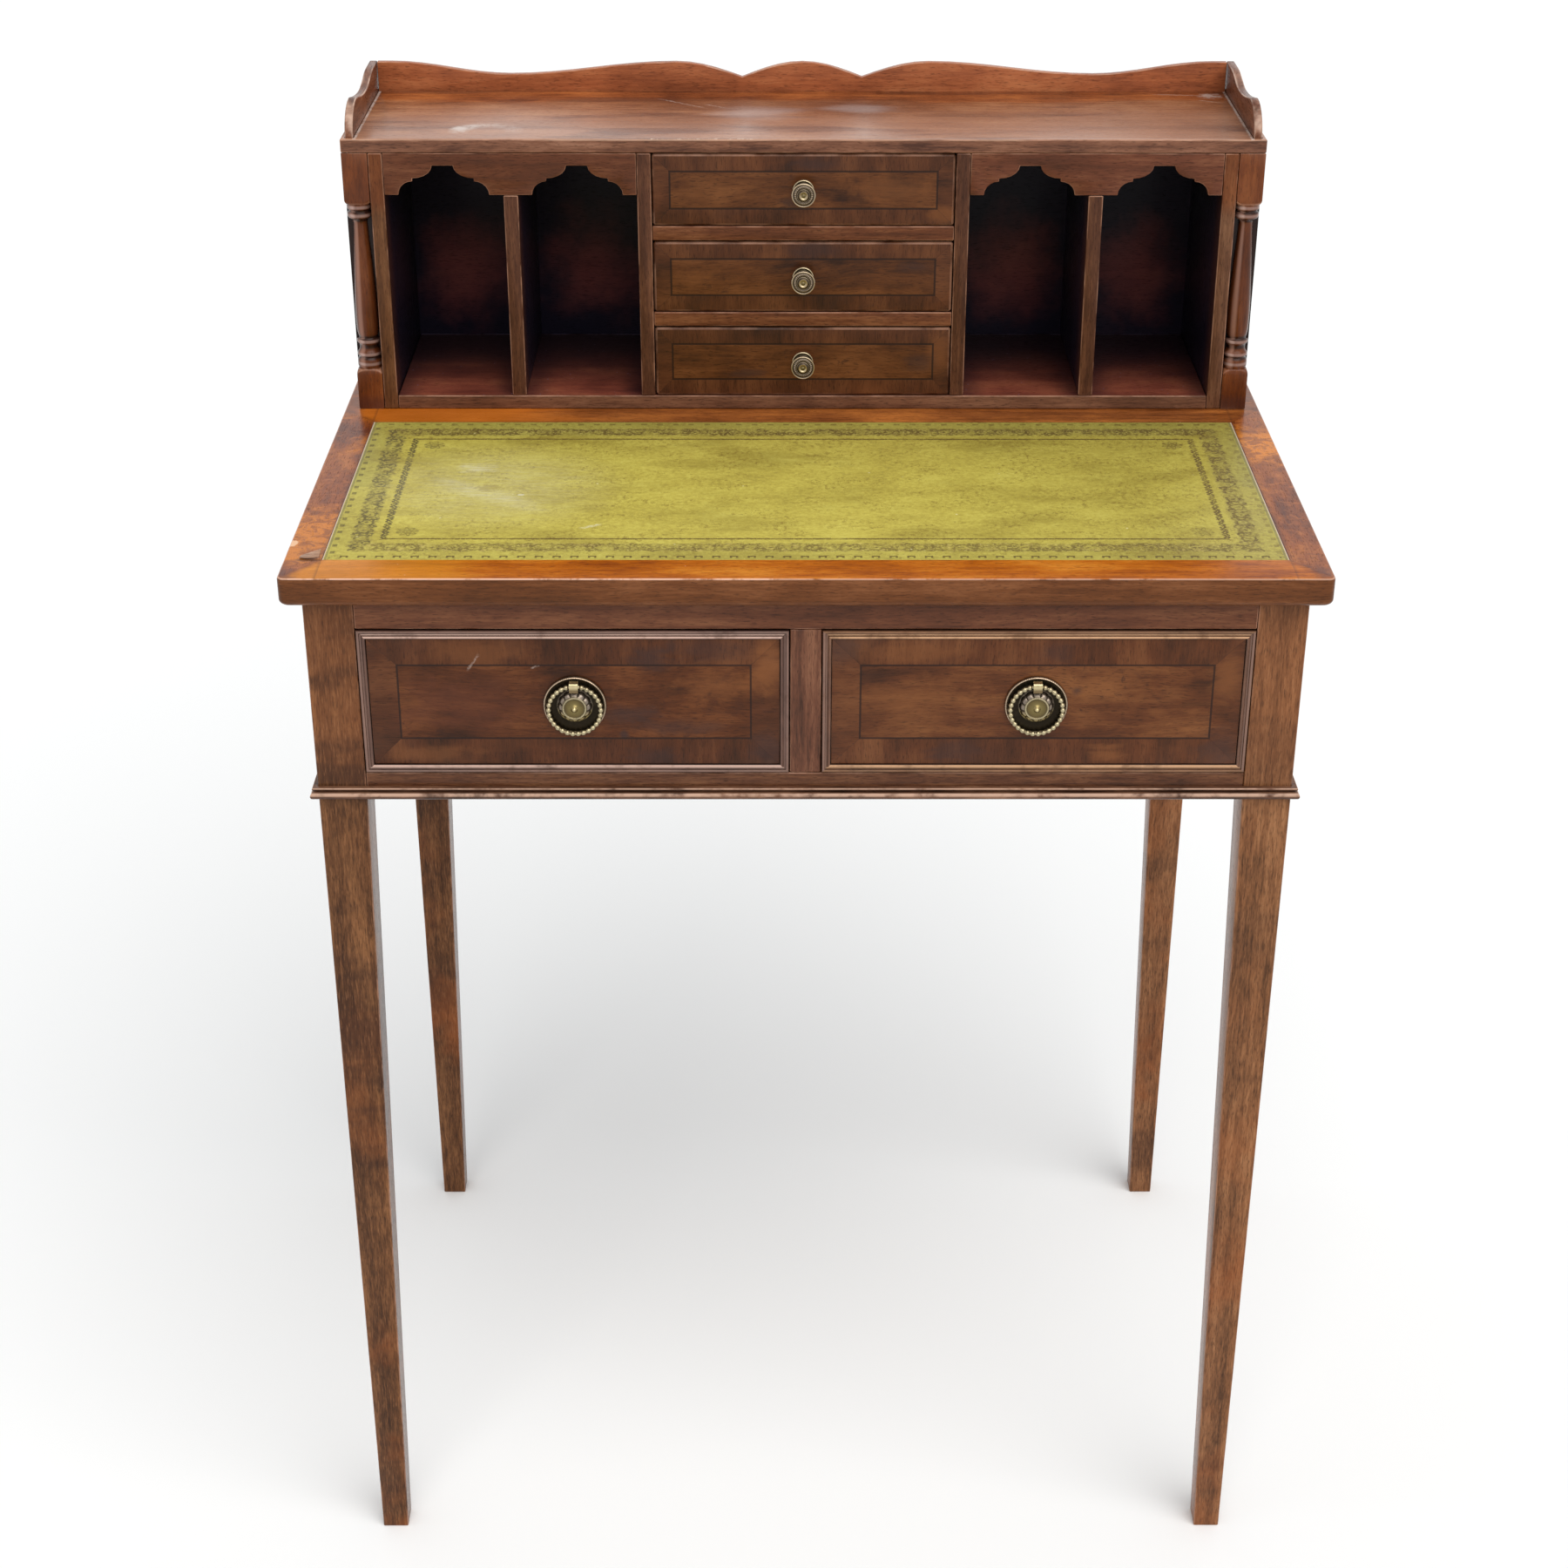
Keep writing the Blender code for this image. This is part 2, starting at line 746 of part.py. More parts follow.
def drawer_box(word, left, right):
    """Two sides and a back, grooved inside for the bottom board."""
    start = frame_front + drawer_front_thickness + gap
    end = drawer_end
    high = drawer_high - drawer_side_drop
    groove_low = drawer_low + drawer_bottom_lift
    groove_high = groove_low + drawer_bottom_thickness + 2 * gap
    layers = (
        (drawer_low, 0.0), (groove_low, 0.0), (groove_low, groove_depth), (groove_high, groove_depth),
        (groove_high, 0.0), (high, 0.0),
    )
    sections = []
    for height, cut in layers:
        wall = drawer_side_thickness - cut
        sections.append([
            (left, start, height), (left + wall, start, height), (left + wall, end - wall, height),
            (right - wall, end - wall, height), (right - wall, start, height), (right, start, height),
            (right, end, height), (left, end, height),
        ])
    lofted("drawer_box_" + word, sections, wood("drawer_box_wood_" + word, pale_wood, bare_share))
    edge = drawer_side_thickness - groove_depth + gap
    plank(
        "drawer_bottom_" + word,
        (left + edge, start, groove_low + gap),
        (right - edge, end - edge, groove_high - gap),
        wood("drawer_bottom_wood_" + word, pale_wood, bare_share),
        gap,
    )


def petals(point):
    """Draws the radius of the boss in between its petals, and leaves its foot and button round."""
    reach = sqrt(point.x ** 2 + point.y ** 2)
    inside = boss_radius * petal_start_share < reach < boss_radius * petal_end_share
    if not inside:
        return 1.0
    angle = Vector((point.x, point.y)).angle_signed(Vector((1.0, 0.0)), 0.0)
    return 1.0 - petal_depth_share * (1 - abs(cos(petal_count * angle / 2)))


def pull_plate(word, centre, face):
    """A round plate with a raised rim, a petalled boss with a button, and a lug that holds the ring."""
    rim = plate_radius * (1 - rim_width_share)
    rim_top = plate_thickness * (1 + rim_height_share)
    slope = rim_top - plate_thickness
    profile = [(radius * boss_radius, share * boss_height) for radius, share in reversed(boss_shares[1:])]
    profile += [(boss_radius, plate_thickness), (rim, plate_thickness)]
    profile += [(rim + slope / 2, rim_top), (plate_radius - slope / 2, rim_top)]
    profile += [(plate_radius, plate_thickness), (plate_radius, 0.0), (0.0, 0.0)]
    brass = finish("brass_plate_" + word, aged_brass, brass_share, 1.0)
    plate = turned("pull_plate_" + word, profile, petal_count * plate_steps_per_petal, brass, petals)
    facing_front(plate, (centre, face, pull_height))
    hole = ring_wire_radius + lug_clearance
    outside = hole + lug_wall
    axis_y = face - ring_standoff
    lug = plank(
        "lug_" + word,
        (centre - lug_width / 2, axis_y - outside, ring_height - outside),
        (centre + lug_width / 2, face - plate_thickness / 2, ring_height + outside),
        brass,
    )
    combined(plate, lug, "UNION")
    bore = [(0.0, lug_width), (hole, lug_width), (hole, -lug_width), (0.0, -lug_width)]
    drill = turned("lug_bore_" + word, bore, bore_steps, brass)
    drill.rotation_euler = (0.0, pi / 2, 0.0)
    drill.location = (centre, axis_y, ring_height)
    combined(plate, drill, "DIFFERENCE")
    return plate


def pull_ring(word, centre, face):
    """A ring of beads that hangs from its lug. The stretch inside the lug is plain wire."""
    plain_half = (lug_width / 2 + gap) / ring_radius
    span = 2 * (pi - plain_half)
    stations = [(plain_half, ring_wire_radius)]
    for bead in range(bead_count):
        for step in range(1, steps_per_bead + 1):
            share = step / steps_per_bead
            swelling = sqrt(sin(pi * share)) if share < 1 else 0.0
            radius = ring_neck_radius + (ring_bead_radius - ring_neck_radius) * swelling
            stations.append((plain_half + span * (bead + share) / bead_count, radius))
    stations[-1] = (2 * pi - plain_half, ring_wire_radius)
    stations.append((2 * pi, ring_wire_radius))
    form = bmesh.new()
    rings = []
    for angle, thickness in stations:
        ring = []
        for side in range(wire_sides):
            turn = 2 * pi * side / wire_sides
            reach = ring_radius + thickness * cos(turn)
            point = (reach * sin(angle), thickness * sin(turn), reach * cos(angle) - ring_radius)
            ring.append(form.verts.new(point))
        rings.append(ring)
    for ring, following in zip(rings, rings[1:] + rings[:1]):
        for i in range(wire_sides):
            j = (i + 1) % wire_sides
            form.faces.new((ring[i], ring[j], following[j], following[i]))
    brass = finish("brass_ring_" + word, aged_brass, brass_share, 1.0)
    piece = placed("pull_ring_" + word, form, brass, smooth=True)
    piece.location = (centre, face - ring_standoff, ring_height)
    return piece


def frieze_drawers():
    for side, word in ((-1, "left"), (1, "right")):
        centre = side * drawer_centre
        left, right = centre - drawer_half, centre + drawer_half

        def build():
            drawer_front(word, left, right)
            cock_bead(word, left, right)
            drawer_box(word, left, right)
            pull_plate(word, centre, frame_front - gap)
            pull_ring(word, centre, frame_front - gap)

        on_slide("frieze_drawer_" + word, (centre, frame_front, pull_height), build)


# Small drawers

def small_drawer(word, low, high):
    """A front with rounded edges, an open tray behind it and a knob in the middle."""
    half = centre_opening / 2 - drawer_clearance
    back = case_front + small_front_thickness
    plank(
        "small_front_" + word, (-half, case_front, low), (half, back, high),
        wood("small_front_wood_" + word, front_brown), small_front_round,
    )
    tray = plank(
        "small_tray_" + word, (-half, back + gap, low), (half, small_drawer_end, high - small_side_drop),
        wood("small_tray_wood_" + word, pale_wood, bare_share), gap,
    )
    wall = small_side_thickness
    room = [
        rectangle(-half + wall, half - wall, case_front, small_drawer_end - wall, height)
        for height in (low + small_bottom_thickness, high + small_side_drop)
    ]
    combined(tray, lofted("tray_room_" + word, room, wood("room_" + word, pale_wood)), "DIFFERENCE")
    profile = [(radius * knob_radius, share * knob_length) for radius, share in reversed(knob_shares)]
    profile.append((0.0, 0.0))
    brass = finish("brass_knob_" + word, aged_brass, brass_share, 1.0)
    knob = turned("knob_" + word, profile, knob_steps, brass)
    facing_front(knob, (0.0, case_front - gap, (low + high) / 2))


def small_drawers():
    for index, word in enumerate(("bottom", "middle", "top")):
        low = floor_high + gap + index * small_pitch
        high = low + small_height - drawer_clearance - gap
        place = (0.0, case_front, (low + high) / 2)
        on_slide("small_drawer_" + word, place, lambda: small_drawer(word, low, high))


def small_rails():
    """Two boards that part the three small drawers."""
    half = centre_opening / 2 - gap
    for index, word in enumerate(("lower", "upper"), start=1):
        low = floor_high + gap + index * small_pitch - small_rail_height
        high = low + small_rail_height - gap
        plank(
            "small_rail_" + word, (-half, case_front, low), (half, back_panel_front - gap, high),
            wood("small_rail_wood_" + word, case_brown),
        )


table_frame()
base_moulding()
drawer_supports()
desk_top()
case_carcass()
gallery()
frieze_drawers()
small_drawers()
small_rails()
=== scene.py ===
"""Looks of a lady's writing desk: camera, pale floor, soft light, and a detailed finish for every piece."""
import json
from math import cos, pi, radians, sin, sqrt

import bmesh
import bpy
from mathutils import Matrix, Vector

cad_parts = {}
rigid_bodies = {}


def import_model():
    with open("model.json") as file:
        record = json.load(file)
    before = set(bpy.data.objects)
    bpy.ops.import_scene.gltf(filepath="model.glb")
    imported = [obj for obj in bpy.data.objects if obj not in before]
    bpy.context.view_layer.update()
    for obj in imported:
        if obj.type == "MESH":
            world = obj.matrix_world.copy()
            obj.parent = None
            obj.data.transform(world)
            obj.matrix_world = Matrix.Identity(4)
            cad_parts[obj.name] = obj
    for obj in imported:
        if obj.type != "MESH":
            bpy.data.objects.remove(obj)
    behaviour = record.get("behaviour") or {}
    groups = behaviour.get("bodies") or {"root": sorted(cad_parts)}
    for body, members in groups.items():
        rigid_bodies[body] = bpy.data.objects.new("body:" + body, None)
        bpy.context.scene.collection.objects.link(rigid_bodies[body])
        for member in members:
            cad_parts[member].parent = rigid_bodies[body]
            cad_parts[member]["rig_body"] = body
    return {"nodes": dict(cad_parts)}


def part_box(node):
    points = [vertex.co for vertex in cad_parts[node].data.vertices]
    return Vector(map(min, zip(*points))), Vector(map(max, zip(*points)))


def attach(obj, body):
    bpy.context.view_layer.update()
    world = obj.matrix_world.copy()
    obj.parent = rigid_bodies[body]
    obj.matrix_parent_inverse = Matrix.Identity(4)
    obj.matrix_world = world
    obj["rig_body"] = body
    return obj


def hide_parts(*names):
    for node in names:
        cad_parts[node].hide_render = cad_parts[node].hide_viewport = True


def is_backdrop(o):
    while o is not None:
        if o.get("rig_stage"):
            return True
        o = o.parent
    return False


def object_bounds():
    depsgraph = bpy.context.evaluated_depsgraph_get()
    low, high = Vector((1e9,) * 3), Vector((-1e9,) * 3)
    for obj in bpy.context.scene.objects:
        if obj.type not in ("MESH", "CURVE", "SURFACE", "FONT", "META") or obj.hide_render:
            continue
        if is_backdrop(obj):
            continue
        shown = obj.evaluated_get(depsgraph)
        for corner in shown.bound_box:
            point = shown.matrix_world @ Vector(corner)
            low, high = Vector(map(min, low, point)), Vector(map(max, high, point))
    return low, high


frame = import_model()
cad_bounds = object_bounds()
nodes = frame["nodes"]


# Stage

def placed(name, data):
    """A new object of the scene."""
    piece = bpy.data.objects.new(name, data)
    bpy.context.scene.collection.objects.link(piece)
    return piece


def set_camera():
    """The photograph's view: a little over the desk, looking down on its front."""
    yaw, pitch, roll = radians(0.1573), radians(27.757), radians(0.0748)
    forward = Vector((sin(yaw) * cos(pitch), cos(yaw) * cos(pitch), -sin(pitch)))
    level = forward.cross(Vector((0, 0, 1))).normalized()
    upright = level.cross(forward)
    right = level * cos(roll) + upright * sin(roll)
    up = upright * cos(roll) - level * sin(roll)
    lens = bpy.data.cameras.new("camera")
    lens.sensor_width = 36
    lens.lens = 62.21
    camera = placed("camera", lens)
    turn = Matrix((right, up, -forward)).transposed().to_4x4()
    camera.matrix_world = Matrix.Translation((-0.01738, -1.7113, 1.4051)) @ turn
    bpy.context.scene.camera = camera


def set_world():
    """White where the camera or a reflection sees it, and a softer level as light."""
    world = bpy.data.worlds.new("studio")
    bpy.context.scene.world = world
    world.use_nodes = True
    tree = world.node_tree
    tree.nodes.clear()
    create, join = tree.nodes.new, tree.links.new
    path = create("ShaderNodeLightPath").outputs
    seen = path["Is Camera Ray"]
    for ray in ("Is Glossy Ray", "Is Transmission Ray"):
        greater = create("ShaderNodeMath")
        greater.operation = "MAXIMUM"
        join(seen, greater.inputs[0])
        join(path[ray], greater.inputs[1])
        seen = greater.outputs[0]
    mixed = create("ShaderNodeMixShader")
    join(seen, mixed.inputs["Fac"])
    for place, colour, strength in ((1, (0.95, 0.98, 1, 1), 0.6), (2, (1, 1, 1, 1), 1)):
        sky = create("ShaderNodeBackground")
        sky.inputs["Color"].default_value = colour
        sky.inputs["Strength"].default_value = strength
        join(sky.outputs[0], mixed.inputs[place])
    join(mixed.outputs[0], create("ShaderNodeOutputWorld").inputs["Surface"])


def set_sun(azimuth, height, strength, spread, colour):
    """A broad soft lamp. Azimuth is counted from the desk's front towards its right."""
    lamp = bpy.data.lights.new("key", "SUN")
    lamp.energy = strength
    lamp.angle = radians(spread)
    lamp.color = colour
    across, up = radians(azimuth), radians(height)
    towards = Vector((sin(across) * cos(up), -cos(across) * cos(up), sin(up)))
    placed("key", lamp).rotation_euler = towards.to_track_quat("Z", "Y").to_euler()


def set_floor():
    form = bmesh.new()
    bmesh.ops.create_grid(form, x_segments=2, y_segments=2, size=20)
    mesh = bpy.data.meshes.new("floor")
    form.to_mesh(mesh)
    form.free()
    material = bpy.data.materials.new("pale_floor")
    material.use_nodes = True
    inputs = material.node_tree.nodes["Principled BSDF"].inputs
    inputs["Base Color"].default_value = (0.955, 0.955, 0.955, 1)
    inputs["Roughness"].default_value = 1
    inputs["Specular IOR Level"].default_value = 0
    mesh.materials.append(material)
    placed("floor", mesh)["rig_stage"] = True


# Node trees

def tone(red, green, blue):
    """A colour written as sRGB from 0 to 255."""
    def linear(part):
        share = part / 255
        return share / 12.92 if share <= 0.04045 else ((share + 0.055) / 1.055) ** 2.4
    return (linear(red), linear(green), linear(blue), 1)


def sum_of(operation, turned=False):
    """A method that joins a term to another value with a Math node."""
    def method(self, other):
        return math(operation, *((other, self) if turned else (self, other)))
    return method


class Term:
    """The output of a node, with the usual sums."""

    def __init__(self, net, socket):
        self.net = net
        self.socket = socket

    __add__ = sum_of("ADD")
    __radd__ = sum_of("ADD", turned=True)
    __sub__ = sum_of("SUBTRACT")
    __rsub__ = sum_of("SUBTRACT", turned=True)
    __mul__ = sum_of("MULTIPLY")
    __rmul__ = sum_of("MULTIPLY", turned=True)
    __truediv__ = sum_of("DIVIDE")
    __mod__ = sum_of("FLOORED_MODULO")
    __pow__ = sum_of("POWER")
    __gt__ = sum_of("GREATER_THAN")
    __lt__ = sum_of("LESS_THAN")

    def __abs__(self):
        return math("ABSOLUTE", self)


class Net:
    """The node tree of one material."""

    def __init__(self, name):
        self.material = bpy.data.materials.new(name)
        self.material.use_nodes = True
        self.tree = self.material.node_tree
        self.shader = self.tree.nodes["Principled BSDF"]
        self.known = {}

    def fill(self, socket, value):
        if isinstance(value, Term):
            self.tree.links.new(value.socket, socket)
        else:
            socket.default_value = value

    def add(self, kind, inputs, **settings):
        made = self.tree.nodes.new("ShaderNode" + kind)
        for key, value in settings.items():
            setattr(made, key, value)
        for key, value in inputs.items():
            self.fill(made.inputs[key], value)
        return made

    def node(self, kind, output, inputs, **settings):
        return Term(self, self.add(kind, inputs, **settings).outputs[output])

    def axes(self, kind, output):
        """The X, Y and Z of a vector, split only once."""
        if output not in self.known:
            made = self.add("SeparateXYZ", {0: self.node(kind, output, {})})
            self.known[output] = [Term(self, part) for part in made.outputs]
        return self.known[output]

    def place(self):
        """The point's X, Y and Z in metres."""
        return self.axes("TexCoord", "Object")

    def along(self, axis):
        """The point's place with the grain's own axis first."""
        x, y, z = self.place()
        return {"x": (x, y, z), "y": (y, x, z), "z": (z, x, y)}[axis]

    def facing(self):
        """How far the surface faces X, Y and Z."""
        return self.axes("NewGeometry", "Normal")

    def edges(self):
        """1 on eased and rounded edges, 0 on faces square to the axes."""
        x, y, z = (abs(part) for part in self.facing())
        return step(most(x, most(y, z)), 0.995, 0.9)

    def clouds(self, scale, seed, detail, roughness=0.5):
        """Noise of one size in all directions."""
        x, y, z = self.place()
        return noise(x * scale + seed, y * scale, z * scale, detail, roughness)


def net_of(*values):
    """The net of the first term among some values."""
    return next(value.net for value in values if isinstance(value, Term))


def math(operation, *values):
    return net_of(*values).node("Math", 0, dict(enumerate(values)), operation=operation)


def least(one, other):
    return math("MINIMUM", one, other)


def most(one, other):
    return math("MAXIMUM", one, other)


def step(value, low, high):
    """Rises smoothly from 0 at low to 1 at high."""
    inputs = {0: value, 1: low, 2: high, 3: 0, 4: 1}
    return value.net.node("MapRange", 0, inputs, interpolation_type="SMOOTHSTEP")


def line(distance, half_width, soft):
    """1 within half a width of a line, and softly less beyond."""
    return step(abs(distance), half_width + soft, half_width)


def reach(across, along):
    """How far a point lies from a centre."""
    return (across * across + along * along) ** 0.5


def either(share, one, other):
    """One number where the share is 0 and the other where it is 1."""
    return one * (1 - share) + other * share


def noise(x, y, z, detail=2, roughness=0.5, distortion=0):
    point = net_of(x, y, z).node("CombineXYZ", 0, {0: x, 1: y, 2: z})
    inputs = {"Vector": point, "Scale": 1, "Detail": detail, "Roughness": roughness, "Distortion": distortion}
    return point.net.node("TexNoise", "Fac", inputs)


def cells(x, y):
    point = net_of(x, y).node("CombineXYZ", 0, {0: x, 1: y, 2: 0})
    return point.net.node("TexVoronoi", "Distance", {"Vector": point, "Scale": 1})


def mix(share, one, other):
    """One colour where the share is 0 and the other where it is 1."""
    return net_of(share, one, other).node("Mix", 2, {0: share, 6: one, 7: other}, data_type="RGBA")


def tint(shade, share, *colour):
    """Lays a share of an sRGB colour over a shade."""
    return mix(share, shade, tone(*colour))


def ramp(value, stops):
    """Colours laid out along a value. A stop is its place and its red, green and blue."""
    made = value.net.add("ValToRGB", {0: value})
    band = made.color_ramp.elements
    while len(band) < len(stops):
        band.new(0.5)
    for element, (place, *colour) in zip(band, stops):
        element.position = place
        element.color = tone(*colour)
    return Term(value.net, made.outputs[0])


def finish(shade, roughness, height, strength, depth, **constants):
    """Joins colour, roughness and relief to the shader. Constants go straight to its sockets."""
    net = shade.net
    bump = net.node("Bump", "Normal", {"Height": height, "Strength": strength, "Distance": depth})
    for key, value in (("Base Color", shade), ("Roughness", roughness), ("Normal", bump), *constants.items()):
        net.fill(net.shader.inputs[key.replace("_", " ")], value)
    return net.material


class Span:
    """A CAD node's lowest and highest corners, its middle, and half of its sizes."""

    def __init__(self, node):
        self.low, self.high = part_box(node)
        self.x, self.y, self.z = ((low + high) / 2 for low, high in zip(self.low, self.high))
        self.half_x, self.half_y, self.half_z = ((high - low) / 2 for low, high in zip(self.low, self.high))


# Places and tones

post_bottom_block = 0.0285
post_top_block = 0.0354
post_backing = 0.0078
column_radius = 0.0086
pigeon_outer = 0.2803
pigeon_inner = 0.1113
partition_wide = 0.0098
gallery_front = 0.2086
gallery_inside = 0.2987
case_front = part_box("case_base")[0].y
back_board_front = 0.216
top_height = 0.759
top_half = 0.3175
top_front = -0.22
top_back_strip = 0.026
leather_half = 0.2943
leather_front = -0.1914
leather_back = 0.0495
large_band, large_string = 0.0236, 0.0009
small_band, small_string = 0.0118, 0.001
ring_crests = (0.985, 0.935, 0.166, 0.085, 0.028)
ring_hollows = (0.958, 0.907, 0.188, 0.134, 0.066)

frame_tones = ((66, 36, 20), (104, 60, 33), (144, 92, 56))
rail_tones = ((64, 34, 20), (99, 56, 34), (132, 84, 54))
case_tones = ((56, 32, 22), (84, 51, 35), (116, 76, 52))
post_tones = ((70, 34, 16), (104, 53, 24), (132, 75, 38))
# Dark stain with painted shade, for faces inside the case.
inside_stain_and_shade_tones = ((19, 17, 32), (28, 23, 37), (42, 33, 44))
pale_tones = ((124, 92, 64), (162, 125, 92), (192, 155, 119))
worn_brown = (190, 142, 116)
varnish = {"Coat_IOR": 1.2, "Coat_Roughness": 0.2, "Specular_IOR_Level": 0.1}


# Woods

def grain(along, across, depth, seed, flow):
    """Figure, fibre, pores and clouds of wood cut along one axis, each from 0 to 1."""
    start = seed * 0.731
    drift = noise(along * 6 + start, across * 11, depth * 11) - 0.5
    bent = across + drift * (0.012 * flow)
    deep = depth + drift * (0.008 * flow)
    figure = noise(along * 5 + start, bent * 150, deep * 150, 4, 0.6)
    fibre = noise(along * 60 + start, bent * 560, deep * 560, 3, 0.7)
    speck = noise(along * 210 + start, bent * 1500, deep * 1500, 1)
    cloud = noise(along * 15 + start, across * 26, depth * 26, 3, 0.6)
    return figure, fibre, step(speck, 0.56, 0.7), cloud


def wood_shade(tones, parts, contrast, clouds):
    """Dark, middle and light tones laid out by the grain, with darker pores."""
    figure, fibre, pores, cloud = parts
    level = 0.5 + (figure - 0.5) * contrast + (cloud - 0.5) * (1.5 * clouds)
    level += (fibre - 0.5) * (0.9 * contrast)
    shade = ramp(level, [(place, *colour) for place, colour in zip((0.18, 0.5, 0.84), tones)])
    return mix(pores * 0.45, shade, [part * 0.4 for part in tone(*tones[0])[:3]] + [1])


def rubbed(shade, seed, wear, worn=worn_brown):
    """Lighter wood where hands have rubbed the edges."""
    patches = step(shade.net.clouds(42, seed, 4, 0.6), 0.36, 0.66)
    return tint(shade, shade.net.edges() * patches * wear, *worn)


def polished(shade, parts, polish, relief=0.22, coat=1):
    """Satin polish over open grain: little sheen face on, much at a glance."""
    figure, fibre, pores, cloud = parts
    roughness = polish + (fibre - 0.5) * 0.16 + pores * 0.22 + (cloud - 0.5) * 0.18
    height = fibre * 0.55 + figure * 0.25 - pores * 0.75
    return finish(shade, roughness, height, relief, 0.0003, Coat_Weight=coat, **varnish)


def wood(name, tones, axis, seed, contrast=1, clouds=0.6, polish=0.36, wear=0.6, worn=worn_brown, coat=1):
    parts = grain(*Net(name).along(axis), seed, 1)
    shade = wood_shade(tones, parts, contrast, clouds)
    return polished(rubbed(shade, seed, wear, worn), parts, polish, coat=coat)


def leg_wood(name, tones, seed, banding):
    """Open-grained stained wood: fine flecks, dark bands across it, and orange stretches low down."""
    x, y, z = Net(name).place()
    parts = grain(z, x, y, seed, 0.6)
    shade = wood_shade(tones, parts, 1.1, 0.4)
    warm = noise(x * 14 + seed * 3, y * 14, z * 11, 3, 0.6)
    shade = tint(shade, step(warm, 0.46, 0.66) * (0.15 + step(z, 0.5, 0.1) * 0.45), 146, 80, 38)
    shade = tint(shade, step(z, 0.6, 0.64) * 0.3, 140, 84, 50)
    bands = noise(x * 7 + seed, y * 7, z * 22, 4, 0.6)
    shade = tint(shade, step(bands, 0.47, 0.64) * banding, 54, 32, 22)
    fleck = noise(x * 980 + seed, y * 980, z * 110, 2, 0.6)
    shade = tint(shade, step(fleck, 0.54, 0.7) * 0.3, 158, 108, 72)
    shade = tint(shade, step(fleck, 0.46, 0.3) * 0.46, 42, 26, 18)
    return polished(rubbed(shade, seed, 0.5), parts, 0.4, relief=0.3, coat=0.6)


def post_wood(side, seed):
    """Polished red-brown wood: crests worn pale with painted highlight; painted shade between and behind the
    rings.
    """
    net, at = Net("post_" + side), Span("corner_post_" + side)
    x, y, z = net.place()
    parts = grain(z, x, y, seed, 0.6)
    shade = wood_shade(post_tones, parts, 0.6, 0.7)
    column_low, column_high = at.low.z + post_bottom_block, at.high.z - post_top_block
    share = (z - column_low) / (column_high - column_low)
    shaft = step(share, -0.01, 0.01) * step(share, 1.01, 0.99)
    # Pale ring crests are wear with a painted highlight; the darker hollows between rings are painted shade.
    crest_wear_and_highlight = hollow = 0
    for height in ring_crests:
        crest_wear_and_highlight = most(crest_wear_and_highlight, line(share - height, 0.003, 0.011))
    for height in ring_hollows:
        hollow = most(hollow, line(share - height, 0.006, 0.014))
    outward = step(net.facing()[1], 0.15, -0.75)
    painted_light = line(net.facing()[0] + 0.5, 0.06, 0.28) * outward * shaft
    backing = at.high.y - post_backing
    # Painted shade on the shaft, less where it faces the front; painted shade in the hollows; painted
    # highlight on the left side and crests.
    shade = tint(shade, shaft * (0.72 - outward * 0.46), 50, 23, 15)
    shade = tint(shade, hollow * 0.85, 32, 19, 17)
    shade = tint(shade, painted_light * 0.4, 190, 144, 126)
    shade = tint(shade, crest_wear_and_highlight * outward * (0.34 + painted_light * 0.4), 186, 158, 150)
    # Painted shadow on the flat backing behind the column.
    shade = tint(shade, step(y, backing - 0.0006, backing) * shaft * 0.95, 30, 17, 15)
    shade = tint(shade, step(z, at.low.z + 0.012, at.low.z + 0.004) * 0.55, 70, 42, 36)
    return polished(mix(shaft, rubbed(shade, seed, 0.6), shade), parts, 0.26, relief=0.12)


def edge_board(name, tones, axis, seed, contrast, inside_from=case_front, post_block=None):
    """A board of the case: brown at its front edge, nearly black further in from dark stain and painted
    shade.
    """
    net = Net(name)
    y, z = net.place()[1:]
    parts = grain(*net.along(axis), seed, 0.7)
    shade = wood_shade(tones, parts, contrast, 0.5)
    if post_block is not None:
        beside = step(z, post_block - 0.01, post_block + 0.006)
        shade = mix(beside * 0.75, shade, wood_shade(post_tones, parts, 0.6, 0.7))
    # Faces inside the case: dark stain with painted shade, and painted light just inside the opening.
    inner = wood_shade(inside_stain_and_shade_tones, parts, 0.4, 0.5)
    inner = tint(inner, step(y, inside_from + 0.03, inside_from + 0.004) * 0.8, 66, 38, 32)
    shade = mix(step(y, inside_from, inside_from + 0.0025), rubbed(shade, seed, 0.6), inner)
    return polished(shade, parts, 0.42, relief=0.22, coat=0.5)


def from_hole(x):
    """How far a place lies to the side of the middle of the nearest pigeonhole."""
    half_way = (pigeon_outer - pigeon_inner + partition_wide) / 4
    return abs(abs(x) - (pigeon_outer + pigeon_inner) / 2) - half_way


def pigeonhole_back():
    """The case's back: nearly black from dark stain and painted shade, and a painted dull red light low in
    each pigeonhole.
    """
    painted_light_height = 0.818
    x, y, z = Net("case_back").place()
    parts = grain(x, y, z, 12, 0.8)
    shade = wood_shade(inside_stain_and_shade_tones, parts, 0.25, 0.5)
    cloud = noise(x * 34, y, z * 34, 3, 0.6)
    # A painted pool of dull red light low in each pigeonhole, on the forward-facing face only.
    away = reach(from_hole(x) / 0.04, (z - painted_light_height) / 0.046) + (cloud - 0.5) * 1.2
    red = wood_shade(((94, 44, 46), (120, 60, 58), (138, 76, 66)), parts, 0.35, 0.5)
    face, past = back_board_front - 0.0002, back_board_front + 0.0002
    shade = mix(step(away, 1.15, 0.1) * step(y, past, face) * 0.8, shade, red)
    outside = wood_shade(((46, 30, 24), (70, 47, 36), (92, 66, 50)), parts, 0.8, 0.8)
    return polished(mix(step(y, face, past), shade, outside), parts, 0.5, relief=0.1, coat=0.4)


